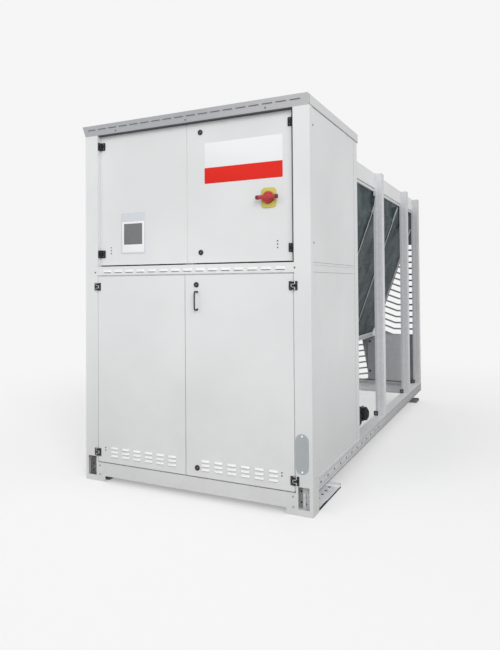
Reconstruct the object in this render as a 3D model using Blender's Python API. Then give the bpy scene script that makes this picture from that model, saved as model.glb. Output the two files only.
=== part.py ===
"""Four-pipe heat pump unit: a sheet-metal cabinet with four doors at the front, and behind it
an open galvanised frame that holds two slanted coils in a V under a deck with two fans.

Metres, +Z up. +X is to the right along the front, +Y runs to the back. The origin is on the
floor under the middle of the unit's box, which runs from the pull handle to the back posts."""

import math

import bmesh
import bpy

# Overall sizes
WIDTH = 1.500
UNIT_LENGTH = 3.310
CABINET_DEPTH = 0.930
ROOF_UNDERSIDE = 2.148
DECK_DROP = 0.083

# Sheet and profile thicknesses
SHEET = 0.002
FRAME_SHEET = 0.003
RAIL_SHEET = 0.004
SEAT_GAP = 0.0003
DOOR_GAP = 0.006
CUT_REACH = 0.010

# Base rails and feet
RAIL_TOP = 0.188
RAIL_HEIGHT = 0.078
RAIL_WIDTH = 0.072
RAIL_HOLE_RADIUS = 0.006
RAIL_HOLE_PITCH = 0.120
RAIL_HOLE_START = 0.127
RAIL_HOLE_COUNT = 12
FRONT_FOOT_LENGTH = 0.467
FRONT_FOOT_WIDTH = 0.145
FRONT_FOOT_INSET = 0.005
FRONT_FOOT_HOLES = 4
REAR_FOOT_LENGTH = 0.150
REAR_FOOT_WIDTH = 0.085
REAR_FOOT_INSET = 0.022
REAR_FOOT_HOLES = 2
FOOT_LIP = 0.024
FOOT_HOLE_RADIUS = 0.008
FOOT_HOLE_PITCH = 0.065
FOOT_HOLE_INSET = 0.060
FOOT_HOLE_END = 0.035
BEAM_BOTTOM = 0.070
BEAM_DEPTH = 0.062

# Cabinet front
POST_WIDTH = 0.095
POST_SIDE = 0.037
POST_SHOE = 0.095
POST_RETURN = 0.035
SKIRT_BOTTOM = 0.035
SKIRT_TOP = 0.1155
SKIRT_LEG = 0.055
DOOR_THICKNESS = 0.020
DOOR_BOTTOM = 0.1215
LOWER_DOOR_TOP = 1.265
BELT_BOTTOM = 1.2712
BELT_TOP = 1.325
UPPER_DOOR_BOTTOM = 1.334
UPPER_DOOR_DROP = 0.005
UPPER_DOOR_RECESS = 0.030
MEETING_X = -0.017
MULLION_HALF = 0.030
MULLION_DEPTH = 0.015
POST_WINDOW_LOW = 0.034
POST_WINDOW_HIGH = 0.150
POST_WINDOW_INSET = 0.020
POST_WINDOW_MARGIN = 0.013
POST_BOLT_INSET = 0.050
POST_BOLT_RADIUS = 0.007
POST_BOLT_HEIGHTS = (0.055, 0.085)

# Cabinet sides and back
SIDE_INSET = 0.003
REAR_STRIP = 0.082
PANEL_FOLD = 0.018
PAN_EDGE = 0.020
PAN_GAP = 0.002

# Roof hood
ROOF_HEIGHT = 0.056
ROOF_FRONT_RAKE = 0.028
ROOF_REAR_OVERHANG = 0.018

# Door furniture
HINGE_HEIGHT = 0.046
HINGE_LEAF = 0.025
HINGE_LEAF_THICKNESS = 0.004
HINGE_ARM = 0.003
UPPER_HINGE_LEAF = 0.038
HINGE_PIN_OFFSET = 0.008
HINGE_KNUCKLE_RADIUS = 0.0075
HINGE_CLEARANCE = 0.0005
HINGE_INSET_LOW = 0.058
HINGE_INSET_HIGH = 0.064
UPPER_HINGE_INSET_LOW = 0.070
LOCK_RADIUS = 0.0155
LOCK_HEIGHT = 0.006
LOWER_LOCK_FROM_SEAM = 0.076
UPPER_LOCK_FROM_SEAM = 0.090
LOCK_INSET_TOP = 0.056
LOCK_INSET_BOTTOM = 0.050
LOCK_INSET_UPPER = 0.060
PULL_LENGTH = 0.114
PULL_REACH = 0.036
PULL_THICKNESS = 0.009
PULL_CORNER = 0.010
PULL_FROM_SEAM = 0.080
PULL_TOP = 1.175

# Louvres at the foot of the lower doors
LOUVRE_COLUMNS = 6
LOUVRE_ROWS = 3
LOUVRE_PITCH_Z = 0.0235
LOUVRE_FIRST_X = 0.111
LOUVRE_LAST_INSET = 0.128
LOUVRE_FIRST_Z = 0.167
LOUVRE_WIDTH = 0.050
LOUVRE_HEIGHT = 0.013
LOUVRE_DEPTH = 0.006
LOUVRE_WALL = 0.0018

# Main switch on the upper right door
SWITCH_INSET = 0.153
SWITCH_DROP = 0.0585
SWITCH_CORNER = 0.022
SWITCH_PLATE_WIDTH = 0.088
SWITCH_PLATE_HEIGHT = 0.110
SWITCH_PLATE_THICKNESS = 0.006
SWITCH_KNOB_RADIUS = 0.030
SWITCH_KNOB_HEIGHT = 0.030
SWITCH_BAR_LENGTH = 0.130
SWITCH_BAR_HEIGHT = 0.022
SWITCH_BAR_DEPTH = 0.016

# Oval cover plate on the right front post
COVER_INSET = 0.0575
COVER_LOW = 0.217
COVER_HIGH = 0.427
COVER_WIDTH = 0.072

# Coil section frame
COIL_POST_SHARES = (0.3049, 0.7415, 1.0)
COIL_POST_WIDTH = 0.074
COIL_POST_DEPTH = 0.065
TOP_RAIL_RECESS = 0.055
TOP_RAIL_HEIGHT = 0.114
TOP_RAIL_WIDTH = 0.043
COIL_TOP_DROP = 0.305
COIL_LOW_INSET = 0.456
COIL_LOW_Z = 0.707
COIL_HIGH_INSET = 0.075
COIL_THICKNESS = 0.060
TRAY_DEPTH = 0.045
TRAY_LIP_GAP = 0.006
TRAY_SEAT_INSET = 0.040
TRAY_SEAT_WIDTH = 0.030

# Slotted guard that closes the back
GUARD_SLOTS = 15
GUARD_FIRST_DROP = 0.023
GUARD_LAST_DROP = 0.143
GUARD_SLAT = 0.0167
GUARD_SLOT_INSET = 0.050
GUARD_MITRE_INSET = 0.260
GUARD_MITRE_SLOPE = 0.165
GUARD_MARGIN = 0.014
CHEVRON_SLOTS = 7
CHEVRON_FIRST_RISE = 0.020
CHEVRON_LAST_DROP = 0.068
CHEVRON_SLAT = 0.0165
CHEVRON_TOP_INSET = 0.144
CHEVRON_LOW_INSET = 0.072
CHEVRON_SLOPE = 0.17

# Fans on the deck
FAN_RADIUS = 0.400
FAN_INSET = 0.600
COWL_WALL = 0.004
COWL_HEIGHT = 0.078
COWL_FOOT = 0.030
COWL_LIP = 0.014
COWL_STEPS = 48
FAN_GUARD_BAR = 0.006
FAN_GUARD_HUB = 0.070
FAN_GUARD_RINGS = (0.150, 0.235, 0.320)
FAN_GUARD_SPOKES = 8
MOTOR_RADIUS = 0.085
MOTOR_HEIGHT = 0.135
BLADE_COUNT = 5
BLADE_TIP_GAP = 0.012
BLADE_ROOT = 0.068
BLADE_THICKNESS = 0.006
BLADE_DROP = 0.030
BLADE_ROOT_TURN = 0.30
BLADE_TIP_START = -0.02
BLADE_TIP_END = 0.50

# Water connections behind the cabinet
PIPE_RADIUS = 0.030
COUPLING_RADIUS = 0.048
COUPLING_WIDTH = 0.056
COUPLING_FROM_END = 0.004
PIPE_BRANCH_INSET = 0.290
PIPE_BRANCH_STEP = 0.120
PIPE_NEAR = 0.200
PIPE_FAR = 0.400
PIPE_RISE = 0.074
PIPE_END_INSET = 0.060
PIPE_BEND = 0.075
PIPE_BEND_STEPS = 6

# Derived planes
FRONT = -(UNIT_LENGTH - PULL_REACH) / 2
BACK = FRONT + UNIT_LENGTH
DECK_HEIGHT = ROOF_UNDERSIDE - DECK_DROP
UPPER_DOOR_TOP = ROOF_UNDERSIDE - UPPER_DOOR_DROP
HALF_WIDTH = WIDTH / 2
POST_INNER = HALF_WIDTH - POST_WIDTH
CABINET_BACK = FRONT + CABINET_DEPTH
SIDE_FACE = HALF_WIDTH - SIDE_INSET
RAIL_BOTTOM = RAIL_TOP - RAIL_HEIGHT
RAIL_INNER = HALF_WIDTH - RAIL_WIDTH
REAR_FOOT_INNER = HALF_WIDTH - REAR_FOOT_INSET - REAR_FOOT_WIDTH
PANEL_FRONT = FRONT + POST_SIDE + SEAT_GAP
PANEL_BACK = CABINET_BACK - REAR_STRIP - SEAT_GAP
PANEL_BOTTOM = RAIL_TOP + SEAT_GAP
PANEL_TOP = ROOF_UNDERSIDE - SEAT_GAP
FOOT_FRONT = FRONT + POST_SIDE + SEAT_GAP
RAIL_FRONT = FRONT + POST_SHOE + SEAT_GAP
LAST_POST = BACK - COIL_POST_WIDTH
TOP_RAIL_OUTER = HALF_WIDTH - TOP_RAIL_RECESS
TOP_RAIL_BOTTOM = DECK_HEIGHT - SHEET - TOP_RAIL_HEIGHT
COIL_TOP_PLATE = DECK_HEIGHT - COIL_TOP_DROP
COIL_LOW_X = HALF_WIDTH - COIL_LOW_INSET
COIL_HIGH_X = HALF_WIDTH - COIL_HIGH_INSET
GUARD_FACE = LAST_POST + FRAME_SHEET + SEAT_GAP
COIL_FRONT = CABINET_BACK + SEAT_GAP
COIL_BACK = GUARD_FACE - SEAT_GAP
COIL_SLOPE = (COIL_HIGH_X - COIL_LOW_X) / (COIL_TOP_PLATE - COIL_LOW_Z)
GUARD_FIRST_SLOT = COIL_LOW_Z - GUARD_FIRST_DROP
GUARD_PITCH = (COIL_TOP_PLATE - GUARD_LAST_DROP - GUARD_FIRST_SLOT) / GUARD_SLOTS
GUARD_MITRE_X = HALF_WIDTH - GUARD_MITRE_INSET
CHEVRON_FIRST = RAIL_TOP + CHEVRON_FIRST_RISE
CHEVRON_PITCH = (COIL_LOW_Z - CHEVRON_LAST_DROP - CHEVRON_FIRST) / CHEVRON_SLOTS
CHEVRON_TOP_X = COIL_LOW_X - CHEVRON_TOP_INSET
CHEVRON_LOW_X = COIL_LOW_X - CHEVRON_LOW_INSET
SWITCH_X = POST_INNER - SWITCH_INSET
SWITCH_Z = (UPPER_DOOR_TOP + UPPER_DOOR_BOTTOM) / 2 - SWITCH_DROP
LOUVRE_PITCH_X = (POST_INNER - LOUVRE_LAST_INSET - LOUVRE_FIRST_X) / (LOUVRE_COLUMNS - 1)
COWL_TOP = DECK_HEIGHT + SEAT_GAP + COWL_HEIGHT


def sides():
    """The word and the sign of each side."""
    return (("left", -1), ("right", 1))


def clear_scene():
    """Remove every object that the file holds."""
    for obj in list(bpy.data.objects):
        bpy.data.objects.remove(obj, do_unlink=True)


def material(name, colour, roughness, metallic):
    """A Principled material with one colour."""
    made = bpy.data.materials.new(name)
    made.use_nodes = True
    shader = made.node_tree.nodes["Principled BSDF"]
    shader.inputs["Base Color"].default_value = (*colour, 1.0)
    shader.inputs["Roughness"].default_value = roughness
    shader.inputs["Metallic"].default_value = metallic
    made.diffuse_color = (*colour, 1.0)
    return made


def finish(name, bm, surface):
    """Turn a bmesh into a linked object whose faces point out."""
    bmesh.ops.recalc_face_normals(bm, faces=bm.faces)
    mesh = bpy.data.meshes.new(name)
    bm.to_mesh(mesh)
    bm.free()
    mesh.materials.append(surface)
    obj = bpy.data.objects.new(name, mesh)
    bpy.context.collection.objects.link(obj)
    return obj


def add_prism(bm, outline, axis, start, end):
    """Extrude a closed outline along an axis; the outline holds the other two coordinates."""
    i, j = {"x": (1, 2), "y": (0, 2), "z": (0, 1)}[axis]
    k = "xyz".index(axis)
    rings = []
    for level in (start, end):
        ring = []
        for a, b in outline:
            point = [0.0, 0.0, 0.0]
            point[i], point[j], point[k] = a, b, level
            ring.append(bm.verts.new(point))
        rings.append(ring)
        bm.faces.new(ring)
    for step in range(len(outline)):
        after = (step + 1) % len(outline)
        bm.faces.new((rings[0][step], rings[0][after], rings[1][after], rings[1][step]))


def prism(name, surface, outline, axis, start, end):
    """One extruded object."""
    bm = bmesh.new()
    add_prism(bm, outline, axis, start, end)
    return finish(name, bm, surface)


def rectangle(a0, b0, a1, b1):
    """The four corners of a rectangle."""
    return [(a0, b0), (a1, b0), (a1, b1), (a0, b1)]


def mirror_outline(outline, side):
    """Mirror an outline about X = 0 for the left side."""
    return [(side * a, b) for a, b in outline]


def folded(path, thickness):
    """The outline of a sheet folded along a path, with its wall on the path's left."""
    inner = []
    count = len(path)
    for index, (x, y) in enumerate(path):
        normals = []
        if index > 0:
            px, py = path[index - 1]
            length = math.hypot(x - px, y - py)
            normals.append((-(y - py) / length, (x - px) / length))
        if index < count - 1:
            nx, ny = path[index + 1]
            length = math.hypot(nx - x, ny - y)
            normals.append((-(ny - y) / length, (nx - x) / length))
        sx = sum(n[0] for n in normals) / len(normals)
        sy = sum(n[1] for n in normals) / len(normals)
        scale = thickness / (sx * sx + sy * sy)
        inner.append((x + sx * scale, y + sy * scale))
    return list(path) + inner[::-1]


def circle(cx, cy, radius, steps):
    """Points on a circle."""
    return [(cx + radius * math.cos(2 * math.pi * s / steps),
             cy + radius * math.sin(2 * math.pi * s / steps)) for s in range(steps)]


def slot_outline(cx, low, high, width, steps):
    """An upright slot with round ends."""
    radius = width / 2
    points = []
    for s in range(steps + 1):
        angle = math.pi * s / steps
        points.append((cx + radius * math.cos(angle), high - radius + radius * math.sin(angle)))
    for s in range(steps + 1):
        angle = math.pi + math.pi * s / steps
        points.append((cx + radius * math.cos(angle), low + radius + radius * math.sin(angle)))
    return points


def apply_tool(obj, tool, operation):
    """Hide a tool object and use it in a Boolean on another."""
    tool.hide_render = True
    tool.display_type = "WIRE"
    modifier = obj.modifiers.new(tool.name, "BOOLEAN")
    modifier.operation = operation
    modifier.solver = "EXACT"
    modifier.object = tool
    return obj


def combine(obj, tool_name, shapes, operation):
    """Cut or join a set of prisms, given as (outline, axis, start, end), with one Boolean."""
    bm = bmesh.new()
    for outline, axis, start, end in shapes:
        add_prism(bm, outline, axis, start, end)
    return apply_tool(obj, finish(tool_name, bm, obj.data.materials[0]), operation)


def join(obj, tool):
    """Add a whole object to another."""
    return apply_tool(obj, tool, "UNION")


def cut(obj, shapes, label="cut"):
    """Take prisms away from an object."""
    return combine(obj, f"{obj.name}_{label}", shapes, "DIFFERENCE")


def fuse(obj, shapes, label="join"):
    """Add prisms to an object."""
    return combine(obj, f"{obj.name}_{label}", shapes, "UNION")


def base_rails(zinc):
    """Two C rails along the floor, open inward, with a row of round holes in the web."""
    for word, side in sides():
        path = [(RAIL_INNER, RAIL_TOP), (HALF_WIDTH, RAIL_TOP),
                (HALF_WIDTH, RAIL_BOTTOM), (RAIL_INNER, RAIL_BOTTOM)]
        outline = mirror_outline(folded(path[::-1], RAIL_SHEET), side)
        rail = prism(f"base_rail_{word}", zinc, outline, "y", RAIL_FRONT, BACK)
        web = (min(side * (HALF_WIDTH - 2 * RAIL_SHEET), side * (HALF_WIDTH + RAIL_SHEET)),
               max(side * (HALF_WIDTH - 2 * RAIL_SHEET), side * (HALF_WIDTH + RAIL_SHEET)))
        middle = (RAIL_TOP + RAIL_BOTTOM) / 2
        holes = []
        for step in range(RAIL_HOLE_COUNT):
            centre = FRONT + RAIL_HOLE_START + step * RAIL_HOLE_PITCH
            holes.append((circle(centre, middle, RAIL_HOLE_RADIUS, 8), "x", *web))
        cut(rail, holes)


def feet(zinc):
    """Four channel feet under the rails: a web, two flanges, lips at the ends and bolt holes."""
    foot_top = RAIL_BOTTOM - SEAT_GAP
    front_outer = HALF_WIDTH - FRONT_FOOT_INSET
    rear_outer = HALF_WIDTH - REAR_FOOT_INSET
    plans = (
        ("front", FOOT_FRONT, FRONT_FOOT_LENGTH, front_outer, FRONT_FOOT_WIDTH, FRONT_FOOT_HOLES),
        ("rear", BACK - REAR_FOOT_LENGTH, REAR_FOOT_LENGTH, rear_outer, REAR_FOOT_WIDTH, REAR_FOOT_HOLES),
    )
    for place, start, length, outer, width, count in plans:
        inner = outer - width
        for word, side in sides():
            path = [(outer, 0.0), (inner, 0.0), (inner, foot_top), (outer, foot_top)]
            outline = mirror_outline(folded(path[::-1], RAIL_SHEET), side)
            end = start + length
            foot = prism(f"foot_{place}_{word}", zinc, outline, "y", start, end)
            low_x, high_x = sorted((side * inner, side * outer))
            front_lip = FOOT_LIP if place == "rear" else foot_top
            lips = [
                (rectangle(low_x, 0.0, high_x, FOOT_LIP), "y", end - RAIL_SHEET, end),
                (rectangle(low_x, 0.0, high_x, front_lip), "y", start, start + RAIL_SHEET),
            ]
            fuse(foot, lips, "lips")
            hole_x = side * (outer - FOOT_HOLE_INSET)
            last = end - FOOT_HOLE_END
            holes = []
            for step in range(count):
                centre = last - step * FOOT_HOLE_PITCH
                holes.append((circle(hole_x, centre, FOOT_HOLE_RADIUS, 8), "z", -RAIL_SHEET, 2 * RAIL_SHEET))
            if place == "front":
                for height in POST_BOLT_HEIGHTS:
                    bolt = circle(side * (HALF_WIDTH - POST_BOLT_INSET), height, POST_BOLT_RADIUS, 8)
                    holes.append((bolt, "y", start - RAIL_SHEET, start + 2 * RAIL_SHEET))
            cut(foot, holes)


def rear_beam(zinc):
    """The C beam that ties the two base rails together at the back."""
    reach = REAR_FOOT_INNER - SEAT_GAP
    path = [(BACK - BEAM_DEPTH, RAIL_TOP), (BACK, RAIL_TOP),
            (BACK, BEAM_BOTTOM), (BACK - BEAM_DEPTH, BEAM_BOTTOM)]
    prism("rear_beam", zinc, folded(path[::-1], RAIL_SHEET), "x", -reach, reach)


def front_posts(paint):
    """Folded corner posts of the cabinet, each with a window low down on its front and a shoe
    that covers the front end of the base rail."""
    for word, side in sides():
        path = [(POST_INNER, FRONT + POST_RETURN), (POST_INNER, FRONT),
                (HALF_WIDTH, FRONT), (HALF_WIDTH, FRONT + POST_SIDE)]
        outline = mirror_outline(folded(path, FRAME_SHEET), side)
        post = prism(f"front_post_{word}", paint, outline, "z", 0.0, PANEL_TOP)
        window_inner = POST_INNER + POST_WINDOW_MARGIN
        window_outer = HALF_WIDTH - POST_WINDOW_INSET
        low_x, high_x = sorted((side * window_inner, side * window_outer))
        window = rectangle(low_x, POST_WINDOW_LOW, high_x, POST_WINDOW_HIGH)
        cut(post, [(window, "y", FRONT - FRAME_SHEET, FRONT + 2 * FRAME_SHEET)], "window")
        near_x, far_x = sorted((side * (HALF_WIDTH - FRAME_SHEET), side * HALF_WIDTH))
        shoe = rectangle(near_x, FRONT + POST_SIDE - SHEET, far_x, FRONT + POST_SHOE)
        fuse(post, [(shoe, "z", 0.0, RAIL_TOP)], "shoe")
        hinge_halves(post, side, -1)


def hinge_halves(obj, side, part, face=FRONT):
    """Leaf and knuckles on the front of a post (part -1) or a lower door (part +1)."""
    edge = side * (POST_INNER - DOOR_GAP / 2)
    pin_y = face - HINGE_PIN_OFFSET
    third = (HINGE_HEIGHT - 2 * HINGE_CLEARANCE) / 3
    shapes = []
    for centre in (DOOR_BOTTOM + HINGE_INSET_LOW, LOWER_DOOR_TOP - HINGE_INSET_HIGH):
        low = centre - HINGE_HEIGHT / 2
        high = centre + HINGE_HEIGHT / 2
        inner = edge - part * side * (HINGE_KNUCKLE_RADIUS + HINGE_CLEARANCE)
        outer = edge - part * side * HINGE_LEAF
        near, far = sorted((inner, outer))
        shapes.append((rectangle(near, face - HINGE_LEAF_THICKNESS, far, face + SHEET / 2), "z", low, high))
        spans = [(low + third + HINGE_CLEARANCE, high - third - HINGE_CLEARANCE)]
        if part < 0:
            spans = [(low, low + third), (high - third, high)]
        arm_near, arm_far = sorted((edge, inner - part * side * HINGE_ARM))
        for start, end in spans:
            shapes.append((circle(edge, pin_y, HINGE_KNUCKLE_RADIUS, 12), "z", start, end))
            arm = rectangle(arm_near, pin_y - HINGE_ARM / 2, arm_far, face - HINGE_LEAF_THICKNESS / 2)
            shapes.append((arm, "z", start, end))
    for index, shape in enumerate(shapes):
        fuse(obj, [shape], f"hinge_{index}")


def front_skirt(paint):
    """The plate under the doors, with a leg at each end, a stop behind the doors' lower edge
    and the upright that the lower doors close on."""
    reach = POST_INNER - SEAT_GAP
    stop = FRONT + DOOR_THICKNESS + DOOR_GAP
    path = [(FRONT, 0.0), (FRONT, SKIRT_TOP), (stop, SKIRT_TOP),
            (stop, RAIL_TOP), (stop + POST_RETURN, RAIL_TOP)]
    skirt = prism("front_skirt", paint, folded(path[::-1], FRAME_SHEET), "x", -reach, reach)
    span = POST_INNER - SKIRT_LEG
    middle = rectangle(-span, -CUT_REACH, span, SKIRT_BOTTOM)
    cut(skirt, [(middle, "y", FRONT - CUT_REACH, FRONT + CUT_REACH)], "gap")
    fuse(skirt, [(mullion_outline(stop), "z", RAIL_TOP - FRAME_SHEET, BELT_BOTTOM - SEAT_GAP)], "mullion")


def mullion_outline(face):
    """The outline of the folded upright behind the seam between two doors."""
    near = MEETING_X - MULLION_HALF
    far = MEETING_X + MULLION_HALF
    depth = face + MULLION_DEPTH
    return folded([(near, depth), (near, face), (far, face), (far, depth)], FRAME_SHEET)


def floor_pan(paint):
    """The cabinet's floor, on the base rails, with its edges turned up."""
    reach = SIDE_FACE - SHEET - PANEL_FOLD - PAN_GAP
    front = FRONT + DOOR_THICKNESS + DOOR_GAP + POST_RETURN + 2 * PAN_GAP
    back = CABINET_BACK - SHEET - SEAT_GAP
    level = RAIL_TOP + SEAT_GAP
    edge = level + PAN_EDGE
    path = [(-reach, edge), (-reach, level), (reach, level), (reach, edge)]
    prism("floor_pan", paint, folded(path, SHEET), "y", front, back)


def mid_frame(paint):
    """The shelf between the two compartments; its turned-down sides show as a belt, and it
    carries the upright that the upper doors close on."""
    level = BELT_TOP - SHEET
    path = [(-SIDE_FACE, BELT_BOTTOM), (-SIDE_FACE, level), (SIDE_FACE, level), (SIDE_FACE, BELT_BOTTOM)]
    shelf = prism("mid_frame", paint, folded(path[::-1], SHEET), "y", PANEL_FRONT, PANEL_BACK)
    face = FRONT + UPPER_DOOR_RECESS + DOOR_THICKNESS + DOOR_GAP
    fuse(shelf, [(mullion_outline(face), "z", level - SHEET, PANEL_TOP)], "mullion")


def side_panels(paint):
    """Four folded panels that close the cabinet's sides above and below the belt."""
    levels = (("lower", PANEL_BOTTOM, BELT_BOTTOM - SEAT_GAP),
              ("upper", BELT_TOP - SHEET + SEAT_GAP, PANEL_TOP))
    for word, side in sides():
        for place, low, high in levels:
            inner = SIDE_FACE - PANEL_FOLD
            path = [(inner, PANEL_FRONT), (SIDE_FACE, PANEL_FRONT),
                    (SIDE_FACE, PANEL_BACK), (inner, PANEL_BACK)]
            outline = mirror_outline(folded(path, SHEET), side)
            prism(f"side_panel_{place}_{word}", paint, outline, "z", low, high)


def cabinet_back(paint):
    """The back of the cabinet, folded round both rear corners."""
    start = CABINET_BACK - REAR_STRIP
    path = [(SIDE_FACE, start), (SIDE_FACE, CABINET_BACK),
            (-SIDE_FACE, CABINET_BACK), (-SIDE_FACE, start)]
    prism("cabinet_back", paint, folded(path, SHEET), "z", PANEL_BOTTOM, PANEL_TOP)


def roof_hood(paint):
    """A hood over the cabinet, raked out at the front and open below."""
    top = ROOF_UNDERSIDE + ROOF_HEIGHT
    back = CABINET_BACK + ROOF_REAR_OVERHANG
    outer = [(FRONT, ROOF_UNDERSIDE), (back, ROOF_UNDERSIDE), (back, top), (FRONT - ROOF_FRONT_RAKE, top)]
    hood = prism("roof_hood", paint, outer, "x", -HALF_WIDTH, HALF_WIDTH)
    wall = SHEET / math.cos(math.atan2(ROOF_FRONT_RAKE, ROOF_HEIGHT))
    drop = 0.01
    rake = ROOF_FRONT_RAKE / ROOF_HEIGHT
    inner = [(FRONT + wall + drop * rake, ROOF_UNDERSIDE - drop), (back - SHEET, ROOF_UNDERSIDE - drop),
             (back - SHEET, top - SHEET), (FRONT + wall - (ROOF_HEIGHT - SHEET) * rake, top - SHEET)]
    cut(hood, [(inner, "x", -HALF_WIDTH + SHEET, HALF_WIDTH - SHEET)], "hollow")


def door_tray(name, paint, low_x, high_x, low_z, high_z, face):
    """A folded door: a front sheet with four edges turned back."""
    door = prism(name, paint, rectangle(low_x, low_z, high_x, high_z), "y", face, face + DOOR_THICKNESS)
    pocket = rectangle(low_x + SHEET, low_z + SHEET, high_x - SHEET, high_z - SHEET)
    return cut(door, [(pocket, "y", face + SHEET, face + 2 * DOOR_THICKNESS)], "pocket")


def upper_doors(paint):
    """The two doors of the electrical compartment, set back between the posts."""
    face = FRONT + UPPER_DOOR_RECESS
    edge = POST_INNER - 2 * DOOR_GAP
    seam = DOOR_GAP / 2
    spans = (("left", -edge, MEETING_X - seam), ("right", MEETING_X + seam, edge))
    for word, low_x, high_x in spans:
        door_tray(f"upper_door_{word}", paint, low_x, high_x, UPPER_DOOR_BOTTOM, UPPER_DOOR_TOP, face)


def lower_doors(paint):
    """The two doors of the water compartment, flush with the posts, with louvres at the foot."""
    edge = POST_INNER - DOOR_GAP
    seam = DOOR_GAP / 2
    spans = (("left", -1, -edge, MEETING_X - seam), ("right", 1, MEETING_X + seam, edge))
    for word, side, low_x, high_x in spans:
        door = door_tray(f"lower_door_{word}", paint, low_x, high_x, DOOR_BOTTOM, LOWER_DOOR_TOP, FRONT)
        hinge_halves(door, side, 1)
        hoods = []
        slots = []
        for column in range(LOUVRE_COLUMNS):
            centre = side * (LOUVRE_FIRST_X + column * LOUVRE_PITCH_X)
            near = centre - LOUVRE_WIDTH / 2
            far = centre + LOUVRE_WIDTH / 2
            for row in range(LOUVRE_ROWS):
                level = LOUVRE_FIRST_Z + row * LOUVRE_PITCH_Z
                low = level - LOUVRE_HEIGHT / 2
                high = level + LOUVRE_HEIGHT / 2
                wedge = [(FRONT + SHEET / 2, low), (FRONT - LOUVRE_DEPTH, low), (FRONT + SHEET / 2, high)]
                hoods.append((wedge, "x", near, far))
                mouth = FRONT - LOUVRE_DEPTH + 2 * LOUVRE_WALL
                behind = FRONT + 2 * SHEET
                throat = [(behind, low - LOUVRE_WALL), (mouth, low - LOUVRE_WALL),
                          (mouth, low), (behind, high - 3 * LOUVRE_WALL)]
                slots.append((throat, "x", near + LOUVRE_WALL, far - LOUVRE_WALL))
        fuse(door, hoods, "hoods")
        cut(door, slots, "throats")


def belt_front(paint):
    """The folded band between the upper and the lower doors."""
    reach = POST_INNER - SEAT_GAP
    depth = FRONT + POST_RETURN
    path = [(depth, BELT_BOTTOM), (FRONT, BELT_BOTTOM), (FRONT, BELT_TOP), (depth, BELT_TOP)]
    prism("belt_front", paint, folded(path[::-1], SHEET), "x", -reach, reach)


def disc_along_y(name, surface, cx, cz, radius, start, end, steps=24):
    """A round plug with its axis along Y."""
    return prism(name, surface, circle(cx, cz, radius, steps), "y", start, end)


def locks(black):
    """Quarter-turn locks on the right-hand doors."""
    recessed = FRONT + UPPER_DOOR_RECESS
    upper_x = MEETING_X + UPPER_LOCK_FROM_SEAM
    lower_x = MEETING_X + LOWER_LOCK_FROM_SEAM
    rows = (
        ("lock_upper_top", recessed, upper_x, UPPER_DOOR_TOP - LOCK_INSET_TOP),
        ("lock_upper_bottom", recessed, upper_x, UPPER_DOOR_BOTTOM + LOCK_INSET_UPPER),
        ("lock_lower_top", FRONT, lower_x, LOWER_DOOR_TOP - LOCK_INSET_TOP),
        ("lock_lower_bottom", FRONT, lower_x, DOOR_BOTTOM + LOCK_INSET_BOTTOM),
    )
    for name, face, x, height in rows:
        disc_along_y(name, black, x, height, LOCK_RADIUS, face - LOCK_HEIGHT, face - SEAT_GAP)


def pull_handle(black):
    """A plain D handle below the upper lock of the lower right door."""
    x = MEETING_X + PULL_FROM_SEAM
    face = FRONT - SEAT_GAP
    outer = FRONT - PULL_REACH
    low = PULL_TOP - PULL_LENGTH
    path = [(face, low), (outer + PULL_CORNER, low), (outer, low + PULL_CORNER),
            (outer, PULL_TOP - PULL_CORNER), (outer + PULL_CORNER, PULL_TOP), (face, PULL_TOP)]
    half = PULL_THICKNESS / 2
    prism("pull_handle", black, folded(path[::-1], PULL_THICKNESS * 0.75), "x", x - half, x + half)


def main_switch(yellow, red):
    """A yellow plate on the upper right door and the red handle that turns on it."""
    face = FRONT + UPPER_DOOR_RECESS - SEAT_GAP
    plate_face = face - SWITCH_PLATE_THICKNESS
    half_w = SWITCH_PLATE_WIDTH / 2
    half_h = SWITCH_PLATE_HEIGHT / 2
    outline = []
    for turn, (way_x, way_z) in enumerate(((1, 1), (-1, 1), (-1, -1), (1, -1))):
        inset_x = SWITCH_X + way_x * (half_w - SWITCH_CORNER)
        inset_z = SWITCH_Z + way_z * (half_h - SWITCH_CORNER)
        for step in range(4):
            angle = math.pi / 2 * (turn + step / 3)
            outline.append((inset_x + SWITCH_CORNER * math.cos(angle),
                            inset_z + SWITCH_CORNER * math.sin(angle)))
    prism("switch_plate", yellow, outline, "y", plate_face, face)
    knob_back = plate_face - SEAT_GAP
    handle = disc_along_y("switch_handle", red, SWITCH_X, SWITCH_Z, SWITCH_KNOB_RADIUS,
                          knob_back - SWITCH_KNOB_HEIGHT, knob_back)
    bar = rectangle(SWITCH_X - SWITCH_BAR_LENGTH / 2, SWITCH_Z - SWITCH_BAR_HEIGHT / 2,
                    SWITCH_X + SWITCH_BAR_LENGTH / 2, SWITCH_Z + SWITCH_BAR_HEIGHT / 2)
    front = knob_back - SWITCH_KNOB_HEIGHT - 0.004
    fuse(handle, [(bar, "y", front, front + SWITCH_BAR_DEPTH)], "bar")


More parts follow.
